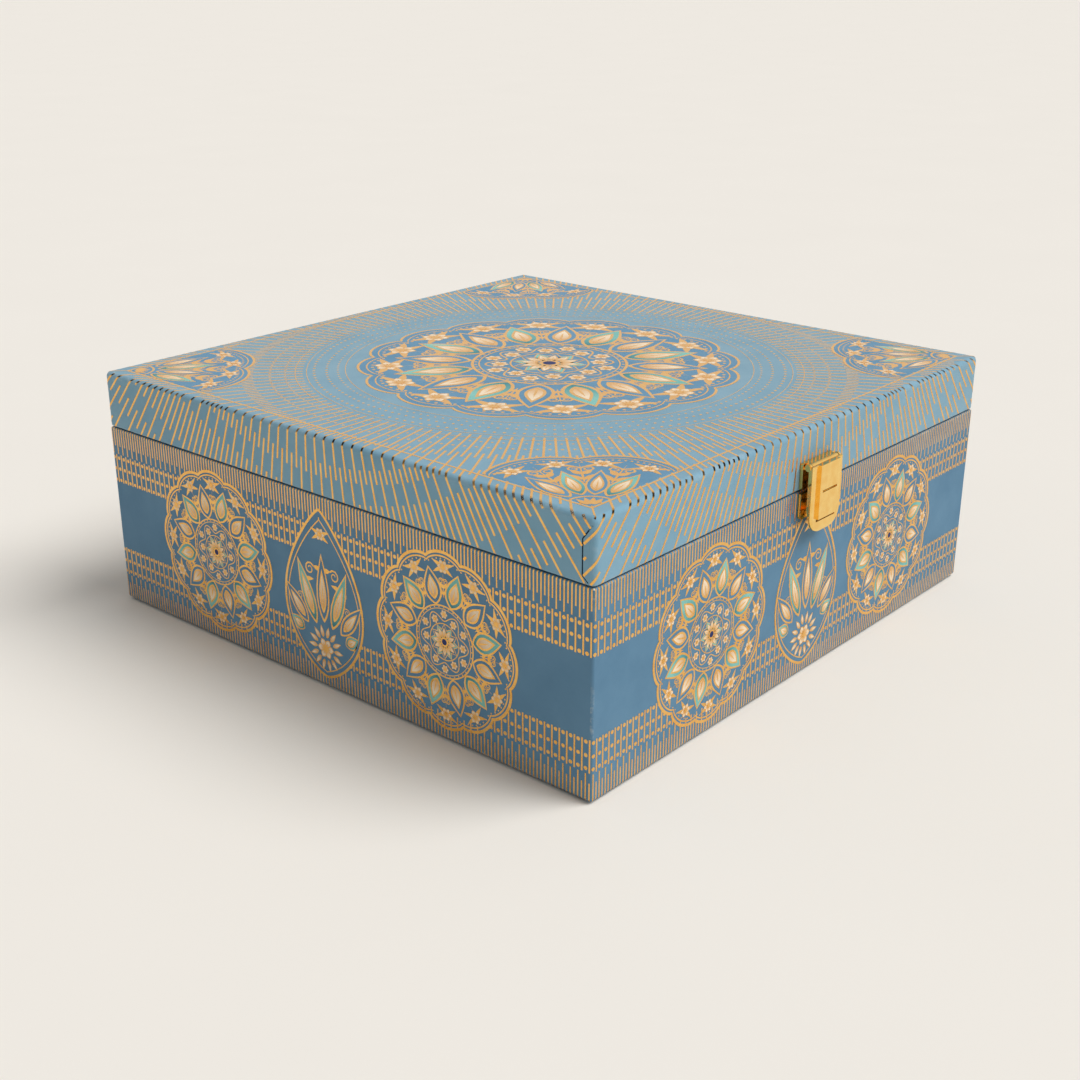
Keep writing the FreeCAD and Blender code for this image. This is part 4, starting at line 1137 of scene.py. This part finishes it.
# %% Scrolls and flowers in the buds
SCROLLS = [                              # place beside the foot, turn from upright, and size
    ((4.5, 32.0), 0.6, 2.6), ((9.5, 26.0), 0.9, 2.2), ((12.0, 19.5), 1.0, 1.6),
]
SCROLL_HALF, SCROLL_LEAF_TURN, SCROLL_LEAF_LONG, SCROLL_LEAF_HALF = 0.13, 2.3, 2.2, 0.4
RAY_PETALS = 14                          # the narrow petals round the flower at the foot
RAY_PETAL, RAY_PETAL_FILL = (4.6, 9.4, 0.95), (5.2, 8.7, 0.55)   # inner and outer end, and half width
FOOT_BLOSSOM, TIP_BLOSSOM, TIP_BLOSSOM_AT = 4.3, 2.6, 45.5
for hand in (-1, 1):
    for start, turned, size in SCROLLS:
        headings = np.full(len(feet), math.pi / 2 - hand * turned)
        places = feet + np.array(start) * [hand, 1.0]
        scroll = curls(places, headings, size, -hand, SCROLL_HALF * size)
        stamp("tray", "gold", *scroll, fold_tray, SPRIG)
        leaf_size = SCROLL_LEAF_LONG * size, SCROLL_LEAF_HALF * size
        leaf = leaves(places, headings + SCROLL_LEAF_TURN * hand, *leaf_size)
        stamp("tray", "gold", *leaf, fold_tray, SPRIG)
stamp("tray", "gold", *petals(feet, RAY_PETALS, *RAY_PETAL), fold_tray, OUTLINE)
stamp("tray", "cream", *petals(feet, RAY_PETALS, *RAY_PETAL_FILL), fold_tray, FILL)
stamp_blossoms("tray", fold_tray, feet, FOOT_BLOSSOM)
upwards = np.full(len(feet), math.pi / 2)
stamp_blossoms("tray", fold_tray, feet + [0.0, TIP_BLOSSOM_AT], TIP_BLOSSOM, outward=upwards)
print("scrolls:", 2 * len(SCROLLS) * len(feet))

# %% [markdown]
# ## Painted shade in the clasp's recesses
# The flap has a line across its raised panel and a groove along the panel's foot, and a thin dark film lies
# on the floor of each: painted shade, where the recess is in shadow. A mask on the gilt finish could do the
# same, but a film has the recess's own crisp edges.

# %% Painted shade in the recesses
flap_low, _ = (np.array(corner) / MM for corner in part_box("clasp_flap"))
FLAP_FRONT, FLAP_FOOT = flap_low[1], flap_low[2]
CLOSING_LINE = (TRAY_RIM + LID_RIM) / 2
RECESSES = [                             # half length, lower and upper edge, depth behind the flap's front
    (4.85, CLOSING_LINE - 0.26, CLOSING_LINE + 0.26, 0.6),
    (6.4, FLAP_FOOT + 4.35, FLAP_FOOT + 5.48, 1.55),
]


def on_flap(depth):
    """A way to place flat points, (x, z), on a recess's floor: the lift comes towards the front."""
    return lambda flat, lift: np.stack(
        np.broadcast_arrays(flat[..., 0], FLAP_FRONT + depth - lift, flat[..., 1]), -1)


for half, low, high, depth in RECESSES:
    upper, lower = np.array([[(-half, height), (half, height)] for height in (high, low)])
    stamp_edges("flap", "patina", upper[None], lower[None], on_flap(depth), LINE)
print("recesses:", len(RECESSES))

# %% [markdown]
# ## The passes become pieces
# There are thousands of films, and an object for each would be slow. All films of one ink and one lift are
# joined to a single mesh that rides on its body, and each mesh takes the finish of its ink.

# %% Join the passes
for (body, ink, lift), films in passes.items():
    points, faces, along, bent = zip(*films)
    starts = np.cumsum([0] + [len(group) for group in points[:-1]])
    faces = np.concatenate([group + start for group, start in zip(faces, starts)])
    name = f"{body}_{ink}_pass_{round(lift * 1000):03d}"
    piece = new_piece(name, np.concatenate(points), faces.tolist(), ink, body)
    mark(piece, "along", np.concatenate(along))
    mark(piece, "bent", np.concatenate(bent))
    print(name, len(faces), "faces")

# %% [markdown]
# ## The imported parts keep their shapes
# Boards, linings, hinges, nails and the clasp are shown as they were modelled, so they only need a finish.
# The plain wraps get their paper too, although the folded papers stand for them.

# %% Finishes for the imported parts
CARD_NODES = {"floor_lining", "wall_lining", "lid_lining", "lid_rim_lining"}
PAPER_NODES = {"tray_wrap": "tray_paper", "lid_wrap": "lid_paper", "base_sheet": "backing"}
for name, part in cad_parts.items():
    finish = PAPER_NODES.get(name, "card" if name in CARD_NODES else "gilt")
    if name.endswith(("_board", "_rim", "_panel")):
        finish = "board"
    part.data.materials.clear()
    part.data.materials.append(FINISH[finish])
print("finished", len(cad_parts), "packed parts")

# %% [markdown]
# ## Floor, light and sky
# A wide pale floor fills the picture. The key light comes from the clasp side, so that face is brighter
# than the left one. A plain grey sky would leave the metal flat. So the sky lights everything evenly, but
# what metal mirrors is a bright horizon and a dimmer ceiling, which gives the clasp its darker edges and
# still leaves the foil golden from above.

# %% Floor
FLOOR_RADIUS = 30.0                      # metres
FLOOR_DROP = 0.0002                      # below the box's foot, so that no two faces share a place
FLOOR_COLOURS = (240, 235, 227), (241, 236, 228)
FLOOR_CLOUDS = 9.0                       # cells to the metre
spread = np.concatenate([[0.05], np.geomspace(0.5, FLOOR_RADIUS, 12)])
bearing = np.linspace(2 * math.pi, 0, 49)[:-1]       # clockwise, so that the faces point up
floor_points = np.stack([spread[:, None] * np.cos(bearing), spread[:, None] * np.sin(bearing),
                         np.full((len(spread), len(bearing)), -FLOOR_DROP)], -1)
floor_faces = ring_faces(len(spread), len(bearing), False) + [list(range(len(bearing)))[::-1]]
floor_mesh = bpy.data.meshes.new("floor")
floor_mesh.from_pydata(floor_points.reshape(-1, 3).tolist(), [], floor_faces)
floor = bpy.data.objects.new("floor", floor_mesh)
bpy.context.scene.collection.objects.link(floor)
floor_finish, tree, shader, place = new_finish("pale_floor", Roughness=0.9)
floor_cloud = stretch(tree, noise(tree, place, FLOOR_CLOUDS, 2.0), *CLOUD_RANGE)
pale = [srgb(*colour) for colour in FLOOR_COLOURS]
set_or_link(tree, shader["Base Color"], mix_colours(tree, floor_cloud, *pale))
floor_mesh.materials.append(floor_finish)
print("floor radius", FLOOR_RADIUS, "m")

# %% Sky
SKY_LEVEL = 0.35
HORIZON, CEILING = (0.85, 0.81, 0.75, 1.0), (0.52, 0.5, 0.48, 1.0)
CEILING_RANGE = (0.48, 0.62)             # one becomes the other between these heights; 1 is overhead
world = bpy.data.worlds.new("studio_sky")
bpy.context.scene.world = world
world.use_nodes = True
tree = world.node_tree
tree.nodes.clear()
way = node(tree, "TexCoord").outputs["Generated"]
height = node(tree, "SeparateXYZ", Vector=way).outputs["Z"]
mirrored = mix_colours(tree, stretch(tree, height, *CEILING_RANGE), HORIZON, CEILING)
seen = node(tree, "Background", Color=mirrored)
lighting = node(tree, "Background", Color=(1.0, 1.0, 1.0, 1.0), Strength=SKY_LEVEL)
path = node(tree, "LightPath").outputs
direct = math_node(tree, "MAXIMUM", path["Is Camera Ray"], path["Is Glossy Ray"])
direct = math_node(tree, "MAXIMUM", direct, path["Is Transmission Ray"])
both = node(tree, "MixShader", Fac=direct)
tree.links.new(lighting.outputs["Background"], both.inputs[1])
tree.links.new(seen.outputs["Background"], both.inputs[2])
node(tree, "OutputWorld", Surface=both.outputs["Shader"])
print("sky level", SKY_LEVEL)

# %% Soft key light
KEY_FROM = Vector((0.25, -0.4, 0.65))    # towards the light: clasp side, a little right, and high
KEY_LEVEL = 2.5
KEY_SOFTNESS = math.radians(40)
key = bpy.data.lights.new("key_light", "SUN")
key.energy, key.angle = KEY_LEVEL, KEY_SOFTNESS
key_lamp = bpy.data.objects.new("key_light", key)
key_lamp.matrix_world = (-KEY_FROM).to_track_quat("-Z", "Y").to_matrix().to_4x4()
key_lamp.visible_glossy = False
bpy.context.scene.collection.objects.link(key_lamp)
print("key light level", KEY_LEVEL)
